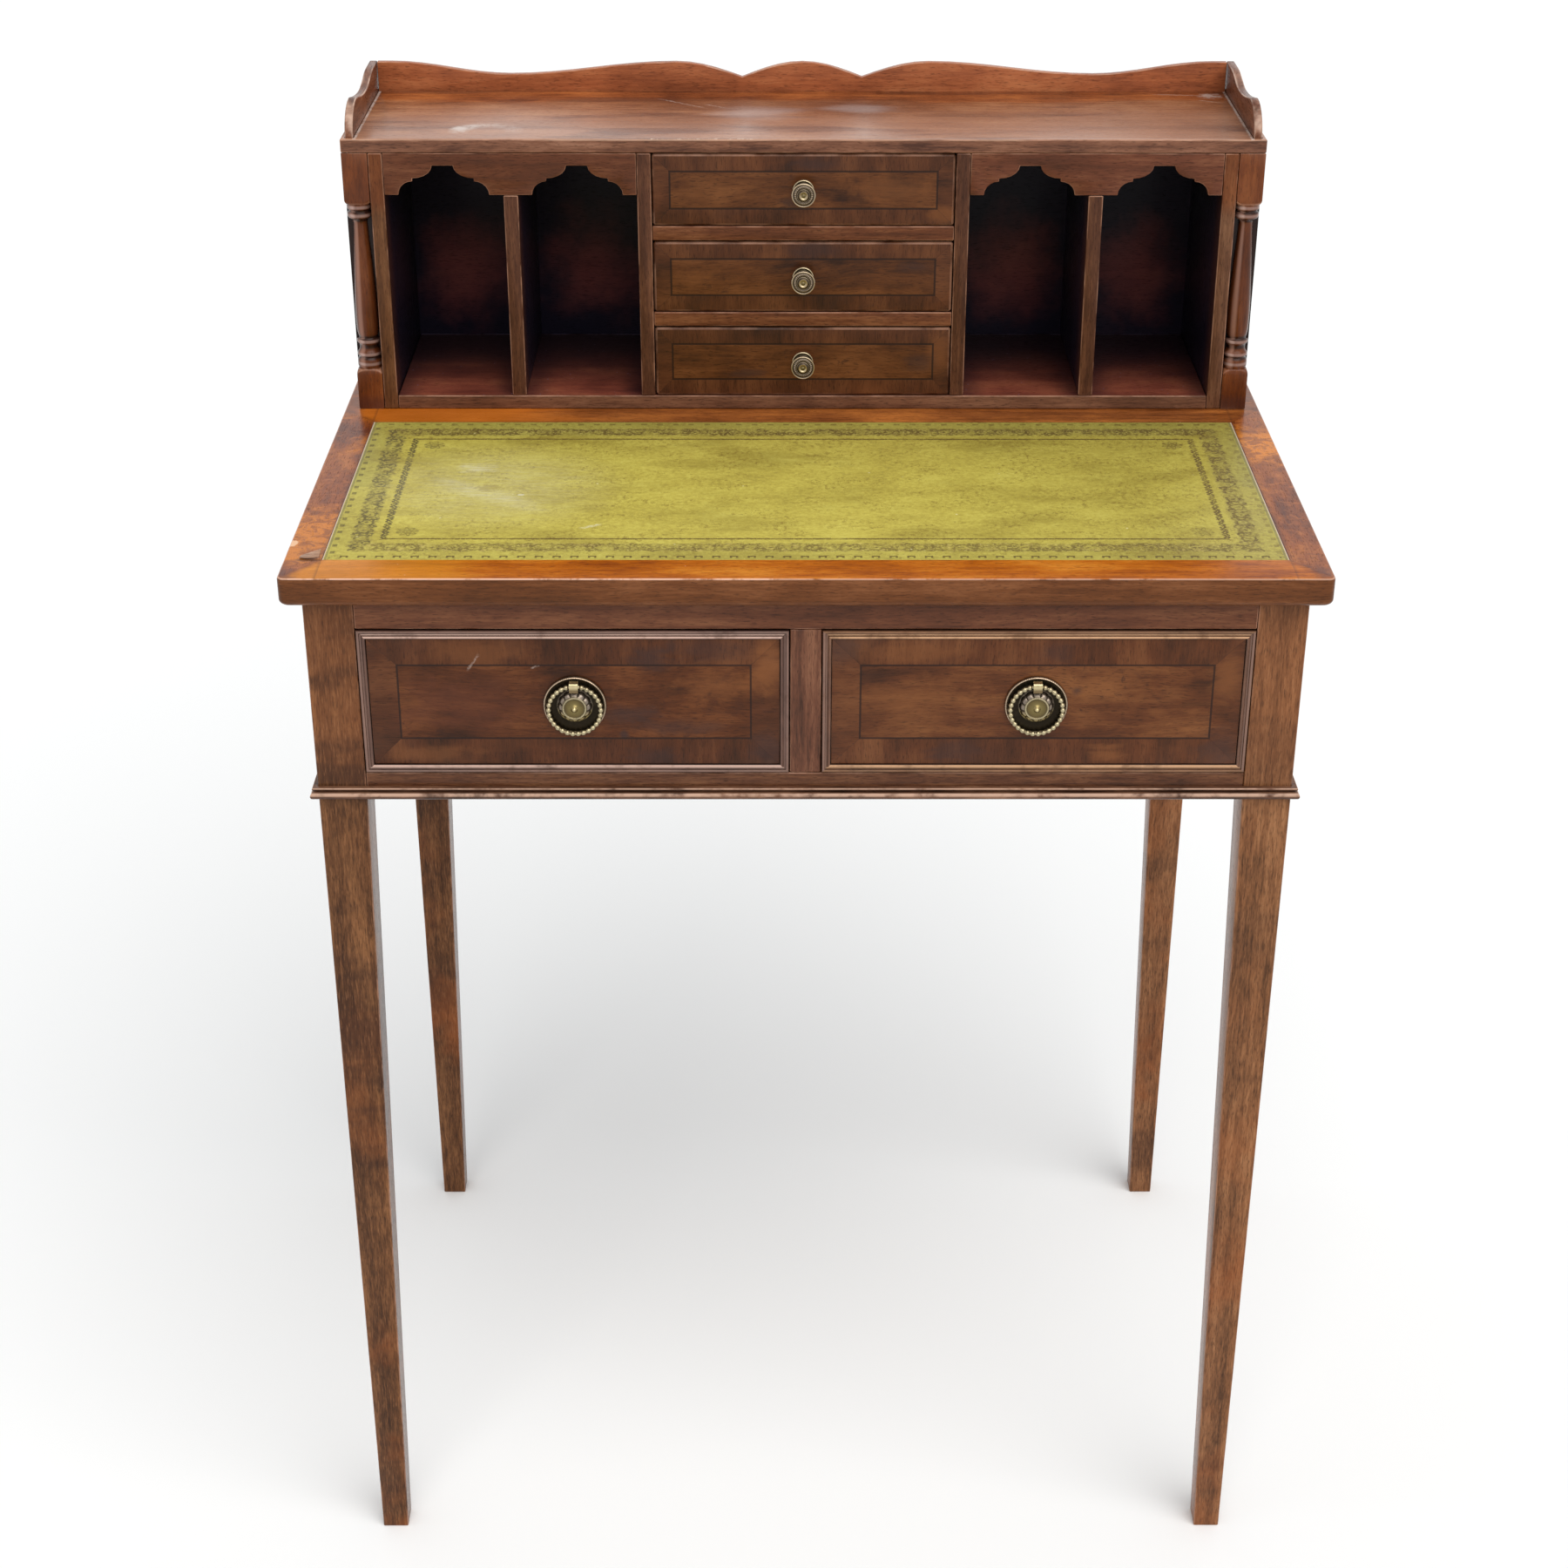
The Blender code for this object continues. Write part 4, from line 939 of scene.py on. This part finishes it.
def made(name, form, material, sharp_from=None):
    """A smooth piece of a form, with sharp edges from an angle on if one is given."""
    mesh = bpy.data.meshes.new(name)
    form.to_mesh(mesh)
    form.free()
    mesh.materials.append(material)
    mesh.shade_smooth()
    if sharp_from:
        mesh.set_sharp_from_angle(angle=radians(sharp_from))
    return placed(name, mesh)


def stands_for(piece, node):
    """Rides on the CAD piece's body in its place, and hides the CAD piece."""
    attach(piece, nodes[node]["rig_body"])
    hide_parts(node)


def eased(piece, width, segments, angle):
    """Rounds the sharp edges and keeps the flat faces flat."""
    edge = piece.modifiers.new("Ease", "BEVEL")
    edge.width = width
    edge.segments = segments
    edge.limit_method = "ANGLE"
    edge.angle_limit = radians(angle)
    edge.harden_normals = True


def dressed(node, material, width=0.00025, segments=2):
    """A cleaned copy of a CAD piece with softened edges."""
    form = bmesh.new()
    form.from_mesh(nodes[node].data)
    bmesh.ops.remove_doubles(form, verts=form.verts, dist=0.000002)
    bmesh.ops.dissolve_limit(form, angle_limit=radians(0.5), verts=form.verts, edges=form.edges)
    piece = made(node + "_dressed", form, material)
    eased(piece, width, segments, angle=22)
    stands_for(piece, node)


def repainted(node, material):
    nodes[node].data.materials.clear()
    nodes[node].data.materials.append(material)


def arc(centre, across, up, start, end, steps):
    angles = [start + (end - start) * i / steps for i in range(steps + 1)]
    return [(centre[0] + across * cos(a), centre[1] + up * sin(a)) for a in angles]


def between(a, b, c, d, t):
    """The value of a smooth curve through four values, a share of the way from the second to the third."""
    square, cube = 2 * a - 5 * b + 4 * c - d, 3 * b - a - 3 * c + d
    return 0.5 * (2 * b + (c - a) * t + square * t * t + cube * t ** 3)


def curved(points, steps):
    """A smooth line through points."""
    smooth = []
    for i in range(len(points) - 1):
        around = [points[min(max(i + shift, 0), len(points) - 1)] for shift in (-1, 0, 1, 2)]
        for j in range(steps):
            radius, height = (between(*values, j / steps) for values in zip(*around))
            smooth.append((max(radius, 0), height))
    return smooth + [points[-1]]


def ringed(form, rings, endless):
    """Joins rings of points with faces. The last ring meets the first, or both get a cap."""
    loops = [[form.verts.new(point) for point in ring] for ring in rings]
    pairs = list(zip(loops, loops[1:]))
    if endless:
        pairs.append((loops[-1], loops[0]))
    for one, other in pairs:
        for i in range(len(one)):
            j = (i + 1) % len(one)
            form.faces.new((one[i], one[j], other[j], other[i]))
    if not endless:
        form.faces.new(list(reversed(loops[0])))
        form.faces.new(loops[-1])


def built(name, material, sharp_from, solids=(), endless=()):
    """A piece made of capped and of endless rows of rings."""
    form = bmesh.new()
    for rings in solids:
        ringed(form, rings, False)
    for rings in endless:
        ringed(form, rings, True)
    bmesh.ops.recalc_face_normals(form, faces=form.faces)
    return made(name, form, material, sharp_from)


def turned_out(node, *settings, **rows):
    """A finer form in a CAD piece's place."""
    piece = built(node + "_dressed", *settings, **rows)
    stands_for(piece, node)
    return piece


def circle(steps):
    return [2 * pi * i / steps for i in range(steps)]


def squarish(angle, power):
    """How far out a point of a square with rounded corners lies, where 1 is half its side."""
    return (abs(cos(angle)) ** power + abs(sin(angle)) ** power) ** (-1 / power)


def spun_rings(profile, steps, place, ripple=lambda radius, height, angle: (radius, height)):
    """Rings of a turned form. Place puts (across, up, out) in the world, ripple shapes radius and height."""
    rings = []
    for point in profile:
        ring = []
        for angle in circle(steps):
            radius, height = ripple(*point, angle)
            ring.append(place(radius * cos(angle), radius * sin(angle), height))
        rings.append(ring)
    return rings


def on_face(at):
    """Places a form turned about an axis that points out of the front."""
    return lambda across, up, out: (at.x + across, at.high.y - out, at.z + up)


def knob(node, material):
    """A turned knob: a back disc with a rim, a neck, and a milled front disc with a hollow button."""
    at = Span(node)
    radius, length = at.half_x, at.high.y - at.low.y
    shares = (
        (0.88, 0), (0.905, 0.03), (0.9, 0.075), (0.87, 0.105), (0.81, 0.115), (0.76, 0.1), (0.7, 0.098),
        (0.66, 0.118), (0.6, 0.13), (0.5, 0.15), (0.42, 0.185), (0.37, 0.25), (0.37, 0.42), (0.4, 0.53),
        (0.52, 0.63), (0.72, 0.705), (0.89, 0.745), (0.97, 0.785), (1, 0.825), (0.995, 0.86), (0.965, 0.89),
        (0.915, 0.893), (0.87, 0.88), (0.83, 0.885), (0.78, 0.915), (0.72, 0.932), (0.65, 0.93), (0.6, 0.915),
        (0.55, 0.895), (0.51, 0.895), (0.47, 0.92), (0.43, 0.965), (0.37, 0.985), (0.3, 0.985), (0.24, 0.97),
        (0.2, 0.955), (0.14, 0.955), (0.1, 0.97), (0.04, 0.98),
    )

    def milled(r, h, angle):
        if h > length * 0.7 and 0.62 < r / radius < 0.8:
            h -= length * 0.022 * (0.5 + 0.5 * cos(32 * angle))
        return r, h

    profile = [(r * radius, h * length) for r, h in curved(shares, 3)]
    turned_out(node, material, sharp_from=50, solids=[spun_rings(profile, 160, on_face(at), milled)])


plate_radius = 0.0195
plate_thickness = 0.0016
boss_radius = 0.0106
boss_height = 0.009
ring_radius = 0.0161
ring_drop = 0.002
ring_standoff = 0.00461
ring_reach = 0.01785


def pull_plate(node, material):
    """A round plate with a milled rim, a petalled dome, a dished middle with a point, and the ring's eye."""
    at = Span(node)
    shares = (
        (0.015, 1), (0.06, 0.985), (0.1, 0.94), (0.14, 0.87), (0.18, 0.8), (0.22, 0.75), (0.27, 0.715),
        (0.34, 0.69), (0.43, 0.675), (0.52, 0.675), (0.58, 0.69), (0.625, 0.725), (0.66, 0.735),
        (0.695, 0.72), (0.72, 0.675), (0.745, 0.645), (0.8, 0.62), (0.86, 0.575), (0.92, 0.5), (0.97, 0.38),
        (1, 0.2),
    )
    profile = [(r * boss_radius, h * boss_height) for r, h in curved(shares, 3)]
    rim_top = 0.00256
    field = ((0.0107, plate_thickness), (0.012, 0.0014), (0.0145, 0.0014), (0.017, 0.0015), (0.0179, 0.00165))
    rim = ((0.0181, 0.0018), (0.0183, rim_top - 0.0003), (0.0187, rim_top), (0.0191, rim_top - 0.0002))
    profile += curved(field, 2) + curved(rim, 3)
    profile.append((0.0194, plate_thickness + 0.0002))
    profile += [(plate_radius, plate_thickness - 0.0002), (plate_radius, 0)]

    def petalled(r, h, angle):
        share = r / boss_radius
        if 0.73 < share <= 1.001 and h > plate_thickness * 0.9:
            groove = 1 - abs(cos(6 * angle)) ** 0.45
            blend = min((share - 0.73) / 0.1, 1)
            return r * (1 - 0.085 * groove * blend), h * (1 - 0.2 * groove * blend)
        if 0.0182 < r < 0.01925:
            return r, h - 0.00016 * (1 + cos(90 * angle)) / 2
        if 0.62 < share < 0.7:
            return r, h - 0.00014 * (1 + cos(48 * angle)) / 2
        return r, h

    hole, half_up, half_across = 0.0017, 0.0034, 0.00275
    axis_y, axis_z = at.high.y - ring_standoff, at.z + ring_radius - ring_drop
    rings = []
    for across, inner in ((-1, False), (1, False), (1, True), (-1, True)):
        ring = []
        for angle in circle(40):
            size = 1 if inner else squarish(angle, 6)
            out = hole if inner else half_up if cos(angle) > 0 else 0.0036
            up = hole if inner else half_up
            away, above = size * cos(angle) * out, size * sin(angle) * up
            ring.append((at.x + across * half_across, axis_y - away, axis_z + above))
        rings.append(ring)
    plate = spun_rings(profile, 360, on_face(at), petalled)
    piece = turned_out(node, material, sharp_from=42, solids=[plate], endless=[rings])
    eased(piece, width=0.0003, segments=2, angle=50)


def pull_ring(node, material):
    """A ring of beads, with plain wire where it passes through its eye."""
    at = Span(node)
    centre_z = at.low.z + ring_reach
    beads, per_bead, sides = 28, 10, 16
    bead, neck, wire = 0.00165, 0.0009, 0.0012
    plain = 0.00305 / ring_radius
    stations = []
    for i in range(beads):
        for j in range(per_bead):
            share = j / per_bead
            swelling = sqrt(max(1 - (2 * share - 1) ** 2, 0))
            angle = plain + 2 * (pi - plain) * (i + share) / beads
            stations.append((angle, max(neck if i or j else wire, bead * swelling)))
    stations += [(2 * pi - plain * share, wire) for share in (1, 0.5, 0, -0.5)]
    rings = []
    for angle, thickness in stations:
        ring = []
        for turn in circle(sides):
            out = ring_radius + thickness * cos(turn)
            ring.append((at.x + out * sin(angle), at.y + thickness * sin(turn), centre_z + out * cos(angle)))
        rings.append(ring)
    turned_out(node, material, sharp_from=60, endless=[rings])


def cock_bead(node, material):
    """Two fine reeds mitred round a drawer front."""
    low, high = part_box(node)
    width, projection, reed = 0.0056, 0.0013, 0.0021
    section = [(0, high.y)]
    for centre in (reed / 2, width - reed / 2):
        section += arc((centre, low.y + projection), reed / 2, -projection, pi, 0, 9)
    section.append((width, high.y))
    rings = []
    for inset, y in section:
        left, right, bottom, top = low.x + inset, high.x - inset, low.z + inset, high.z - inset
        rings.append([(left, y, bottom), (right, y, bottom), (right, y, top), (left, y, top)])
    turned_out(node, material, sharp_from=35, endless=[rings])


def base_moulding(node, material):
    """A thin bead, a hollow and a full bead under the frieze, mitred at the front corners."""
    low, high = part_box(node)
    projection, tall = 0.0045, high.z - low.z
    root_x, root_y = high.x - projection, low.y + projection
    lower, upper, ledge, root = tall * 0.31, tall * 0.11, projection * 0.52, projection * 0.2
    section = [(0, 0)]
    section += arc((projection - lower, lower), lower, lower, -pi / 2, pi / 2, 12)
    section += arc((ledge, 2 * lower), ledge - root, tall - 2 * upper - 2 * lower, pi, pi / 2, 6)
    section += arc((ledge, tall - upper), upper, upper, -pi / 2, pi / 2, 6)[1:]
    section.append((0, tall))
    rings = []
    for side, corner_y in ((-1, high.y), (-1, root_y), (1, root_y), (1, high.y)):
        forward = corner_y == root_y
        rings.append([(side * (root_x + out), corner_y - out * forward, low.z + up) for out, up in section])
    turned_out(node, material, sharp_from=35, solids=[rings])


def corner_post(node, material):
    """A turned column against a flat backing, between square blocks with rounded shoulders."""
    at = Span(node)
    half = at.half_x
    column_low, column_high = at.low.z + post_bottom_block, at.high.z - post_top_block
    length = column_high - column_low
    shares = (
        (0.98, 1), (0.985, 0.985), (0.97, 0.972), (0.88, 0.966), (0.85, 0.96), (0.85, 0.955), (0.93, 0.95),
        (0.97, 0.943), (0.975, 0.934), (0.96, 0.925), (0.9, 0.918), (0.78, 0.911), (0.63, 0.903),
        (0.56, 0.888), (0.55, 0.868), (0.6, 0.79), (0.71, 0.665), (0.82, 0.505), (0.885, 0.385), (0.9, 0.295),
        (0.875, 0.232), (0.8, 0.198), (0.755, 0.187), (0.8, 0.18), (0.92, 0.175), (0.945, 0.166),
        (0.93, 0.157), (0.84, 0.149), (0.78, 0.137), (0.77, 0.122), (0.82, 0.108), (0.92, 0.096),
        (0.965, 0.087), (0.96, 0.078), (0.88, 0.07), (0.87, 0.064), (0.93, 0.055), (0.985, 0.043),
        (0.995, 0.028), (0.99, 0.012), (0.95, 0),
    )
    profile = [(r * column_radius, column_low + h * length) for r, h in curved(shares, 3)]

    def upright(across, along, up):
        return (at.x + across, at.y + along, up)

    corners = ((-half, half), (-half, half - post_backing), (half, half - post_backing), (half, half))
    backing = [[upright(*corner, z) for corner in corners] for z in (column_low, column_high)]
    solids = [spun_rings(profile, 64, upright), backing]
    for outer, end, way in ((at.low.z, column_low, 1), (at.high.z, column_high, -1)):
        rings = []
        for height, share, power in (
            (outer, 0.975, 40), (outer + way * 0.0004, 1, 40), (end - way * 0.004, 1, 40),
            (end - way * 0.003, 0.998, 26), (end - way * 0.002, 0.985, 12), (end - way * 0.0011, 0.96, 7),
            (end - way * 0.0004, 0.93, 4.5), (end, 0.88, 3.2),
        ):
            ring = []
            for angle in circle(96):
                size = share * half * squarish(angle, power)
                ring.append(upright(size * cos(angle), size * sin(angle), height))
            rings.append(ring)
        solids.append(rings)
    turned_out(node, material, sharp_from=32, solids=solids)


def desk_top(node, material):
    """The top board with a full rounded edge and a sunk field."""
    low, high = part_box(node)
    lower, upper, depth, corner = 0.0045, 0.0015, 0.0015, 0.0042
    tall = high.z - low.z

    def outline(left, right, front, back, radius, height):
        points = []
        for quarter, (x, y) in enumerate(((right, back), (left, back), (left, front), (right, front))):
            centre = (x - radius if x > 0 else x + radius, y - radius if y == back else y + radius)
            points += arc(centre, radius, radius, quarter * pi / 2, (quarter + 1) * pi / 2, 6)
        return [(*point, height) for point in points]

    edge = arc((lower, lower), lower, lower, -pi / 2, -pi, 8)
    edge += arc((upper, tall - upper), upper, upper, pi, pi / 2, 6)
    rings = [
        outline(low.x + inset, high.x - inset, low.y + inset, high.y - inset, corner, low.z + height)
        for inset, height in edge
    ]
    field = (-leather_half, leather_half, leather_front, leather_back, 0.0001)
    rings += [outline(*field, high.z), outline(*field, high.z - depth)]
    turned_out(node, material, sharp_from=30, solids=[rings])


def veneer_flake(material):
    """A sliver of veneer that has lifted beside the leather's near left corner."""
    rows = []
    thick = 0.0006
    for i in range(9):
        share = i / 8
        x = -0.308 + 0.012 * share
        y = -0.188 + 0.0015 * share
        half = (0.0016 + 0.0046 * sin(pi * (0.1 + 0.62 * share))) / 2
        near, far = top_height + 0.0003 + 0.0004 * share, top_height + 0.0004 + 0.003 * share ** 1.3
        left, right = (x, y - half), (x + 0.0007, y + half)
        rows.append([(*left, near), (*right, far), (*right, far + thick), (*left, near + thick)])
    piece = built("veneer_flake", material, sharp_from=40, solids=[rows])
    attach(piece, "desk")


# The desk

set_camera()
set_world()
set_floor()
set_sun(azimuth=24, height=52, strength=2.1, spread=60, colour=(1, 0.985, 0.96))

left_tones = ((58, 34, 18), (94, 59, 34), (132, 88, 54))
right_tones = ((82, 52, 31), (126, 82, 51), (158, 110, 73))
for seed, (word, tones, banding) in enumerate((
    ("front_left", left_tones, 0.6), ("front_right", right_tones, 0.28),
    ("back_left", left_tones, 0.4), ("back_right", right_tones, 0.45),
)):
    dressed("leg_" + word, leg_wood("leg_" + word, tones, 1.3 + seed * 2.7, banding))
for node, name, tones, axis, seed, looks in (
    ("front_top_rail", "top_rail", rail_tones, "x", 3, {"contrast": 0.65, "clouds": 0.35}),
    ("front_bottom_rail", "bottom_rail", ((58, 33, 20), (87, 51, 31), (118, 77, 50)), "x", 4, {}),
    ("drawer_divider", "divider", ((64, 38, 26), (98, 59, 41), (130, 86, 62)), "z", 6, {}),
    ("side_apron_left", "apron_left", frame_tones, "y", 7, {"contrast": 0.8, "clouds": 0.5}),
    ("side_apron_right", "apron_right", frame_tones, "y", 8, {"contrast": 0.8, "clouds": 0.5}),
    ("back_apron", "apron_back", rail_tones, "x", 9, {"polish": 0.5}),
):
    dressed(node, wood(name, tones, axis, seed, **looks))
moulding_tones = ((60, 37, 25), (98, 64, 46), (134, 96, 72))
# The last colour is the moulding's painted highlight with wear.
base_moulding("base_moulding", bead_wood("moulding", moulding_tones, 10, (208, 170, 146)))
desk_top("desk_top", desk_top_wood())
dressed("leather_inset", tooled_leather(), width=0.0001)
veneer_flake(wood("flake", ((132, 98, 76), (176, 138, 112), (208, 174, 150)), "x", 2, wear=0.2))

dressed("case_base", pigeonhole_floor(11))
dressed("case_back", pigeonhole_back())
dressed("case_top", case_top_wood())
scroll_tones = ((70, 40, 28), (112, 68, 48), (152, 104, 78))
for side, start, valance_tones, upright_tones in (
    ("left", 20, ((62, 36, 24), (93, 52, 33), (126, 80, 54)), ((66, 40, 24), (99, 63, 38), (130, 90, 58))),
    ("right", 30, ((66, 38, 26), (101, 57, 39), (136, 88, 62)), ((64, 39, 25), (97, 63, 43), (128, 90, 64))),
):
    post_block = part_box("corner_post_" + side)[1].z - post_top_block
    corner_post("corner_post_" + side, post_wood(side, start))
    dressed("end_panel_" + side, wood("end_panel_" + side, post_tones, "z", start + 1, contrast=0.8))
    for place, (kind, tones, looks) in enumerate((
        ("inner_upright_", upright_tones, {"post_block": post_block}),
        ("centre_upright_", case_tones, {}), ("partition_", case_tones, {}),
    )):
        dressed(kind + side, edge_board(kind + side, tones, "z", start + 2 + place, 0.8, **looks))
    valance_wood = edge_board("valance_" + side, valance_tones, "x", start + 5, 0.55, case_front + 0.0045)
    dressed("valance_" + side, valance_wood, width=0.0005)
    dressed("gallery_side_" + side, wood(
        "gallery_" + side, scroll_tones, "y", start + 6, wear=0.9, worn=(206, 172, 152), coat=0.4,
    ), width=0.001, segments=3)
dressed("gallery_back", wood(
    "gallery_back", ((112, 58, 36), (164, 94, 58), (196, 126, 82)), "x", 13,
    contrast=0.6, clouds=0.5, wear=0.8, worn=(206, 164, 138), coat=0.7,
), width=0.0005, segments=3)
for seed, name in ((14, "small_rail_lower"), (15, "small_rail_upper")):
    dressed(name, edge_board(name, rail_tones, "x", seed, 0.9))

# A stain is the place of its middle and its half sizes in millimetres, its weight and its tone.
amber, russet, smoky = (122, 74, 40), (92, 50, 34), (58, 40, 36)
stains = {
    "left": (
        (-60, 34, 30, 8, 0.4, amber), (46, 30, 12, 9, 0.65, smoky), (85, 36, 26, 8, 0.45, smoky),
        (120, 26, 10, 14, 0.75, amber), (120, -34, 11, 14, 0.6, smoky), (89, 11, 24, 13, 0.5, amber),
        (35, -8, 17, 5, 0.65, smoky), (62, -17, 27, 6, 0.5, smoky), (30, -23, 3, 3, 0.8, smoky),
        (-70, -2, 40, 18, 0.45, russet), (47, -38, 17, 6, 0.5, smoky), (-89, -36, 26, 7, 0.45, amber),
    ),
    "right": (
        (-84, 34, 36, 8, 0.4, amber), (11, 34, 15, 8, 0.5, smoky), (117, 18, 10, 15, 0.6, amber),
        (115, -30, 13, 14, 0.6, smoky), (-122, 34, 11, 9, 0.55, smoky), (-82, 3, 34, 13, 0.45, amber),
        (25, 8, 4, 3, 0.7, smoky), (-30, -6, 14, 3, 0.45, russet), (-50, -34, 18, 7, 0.6, smoky),
        (47, -37, 13, 6, 0.65, amber),
    ),
    "bottom": ((93, 6, 8, 13, 0.5, amber), (81, 0, 11, 6, 0.55, smoky), (-40, -9, 13, 3, 0.6, smoky)),
    "middle": ((8, 18, 18, 5, 0.6, smoky), (76, 7, 12, 4, 0.6, smoky), (-70, 0, 22, 7, 0.4, amber)),
    "top": (
        (8, 18, 17, 5, 0.65, smoky), (55, 0, 30, 8, 0.45, amber), (-8, -9, 8, 3, 0.6, smoky),
        (95, -17, 10, 5, 0.55, amber),
    ),
}
scratches = {
    "left": ((-0.204, 0.698, 0.95, 0.014, 0.0003), (-0.166, 0.695, 0.2, 0.006, 0.00025)),
    "right": (),
}
# The painted highlight with wear on the reeds at the sides of a drawer front.
reed_side_wear_and_highlight = (150, 120, 108)
# The last colour of each row is the reeds' painted highlight with wear above and below.
for side, seed, centre_tones, band_tones, edge_tones, crest_wear_and_highlight in (
    ("left", 41, ((53, 28, 14), (82, 43, 20), (112, 65, 34)), ((48, 27, 15), (78, 42, 22), (106, 63, 36)),
     ((52, 32, 25), (80, 53, 42), (108, 78, 64)), (206, 171, 155)),
    ("right", 47, ((60, 33, 18), (91, 50, 26), (122, 75, 41)), ((58, 32, 18), (89, 49, 26), (116, 71, 41)),
     ((58, 35, 22), (92, 58, 38), (122, 84, 58)), (206, 160, 122)),
):
    front = "drawer_front_" + side
    looks = (large_band, large_string, seed, centre_tones, band_tones, stains[side], scratches[side])
    dressed(front, veneered(front, *looks), width=0.0002)
    cock_bead("cock_bead_" + side, reeded_wood(side, edge_tones, seed + 1, crest_wear_and_highlight, reed_side_wear_and_highlight))
    dressed("drawer_box_" + side, bare_wood("drawer_box_" + side, "y", seed + 2))
    dressed("drawer_bottom_" + side, bare_wood("drawer_bottom_" + side, "x", seed + 3))
    repainted("drawer_runner_" + side, bare_wood("runner_" + side, "y", seed + 4))
    pull_plate("pull_plate_" + side, plate_brass(side, seed))
    pull_ring("pull_ring_" + side, ring_brass(side, seed + 5))
repainted("drawer_runner_centre", bare_wood("runner_centre", "y", 61))
repainted("drawer_kicker", bare_wood("kicker", "y", 62))
small_tones = ((52, 29, 17), (88, 50, 25), (116, 71, 39))
small_band_tones = ((48, 28, 18), (80, 45, 26), (106, 64, 38))
for seed, word in enumerate(("bottom", "middle", "top")):
    front = "small_front_" + word
    looks = (small_band, small_string, 71 + seed * 3, small_tones, small_band_tones, stains[word])
    dressed(front, veneered(front, *looks), width=0.0004, segments=3)
    dressed("small_tray_" + word, bare_wood("small_tray_" + word, "y", 81 + seed))
    knob("knob_" + word, knob_brass(word, 91 + seed))

bpy.context.scene.view_settings.view_transform = "Standard"
lowest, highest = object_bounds()
[[list(map(float, corner)) for corner in pair] for pair in (cad_bounds, (lowest, highest))]
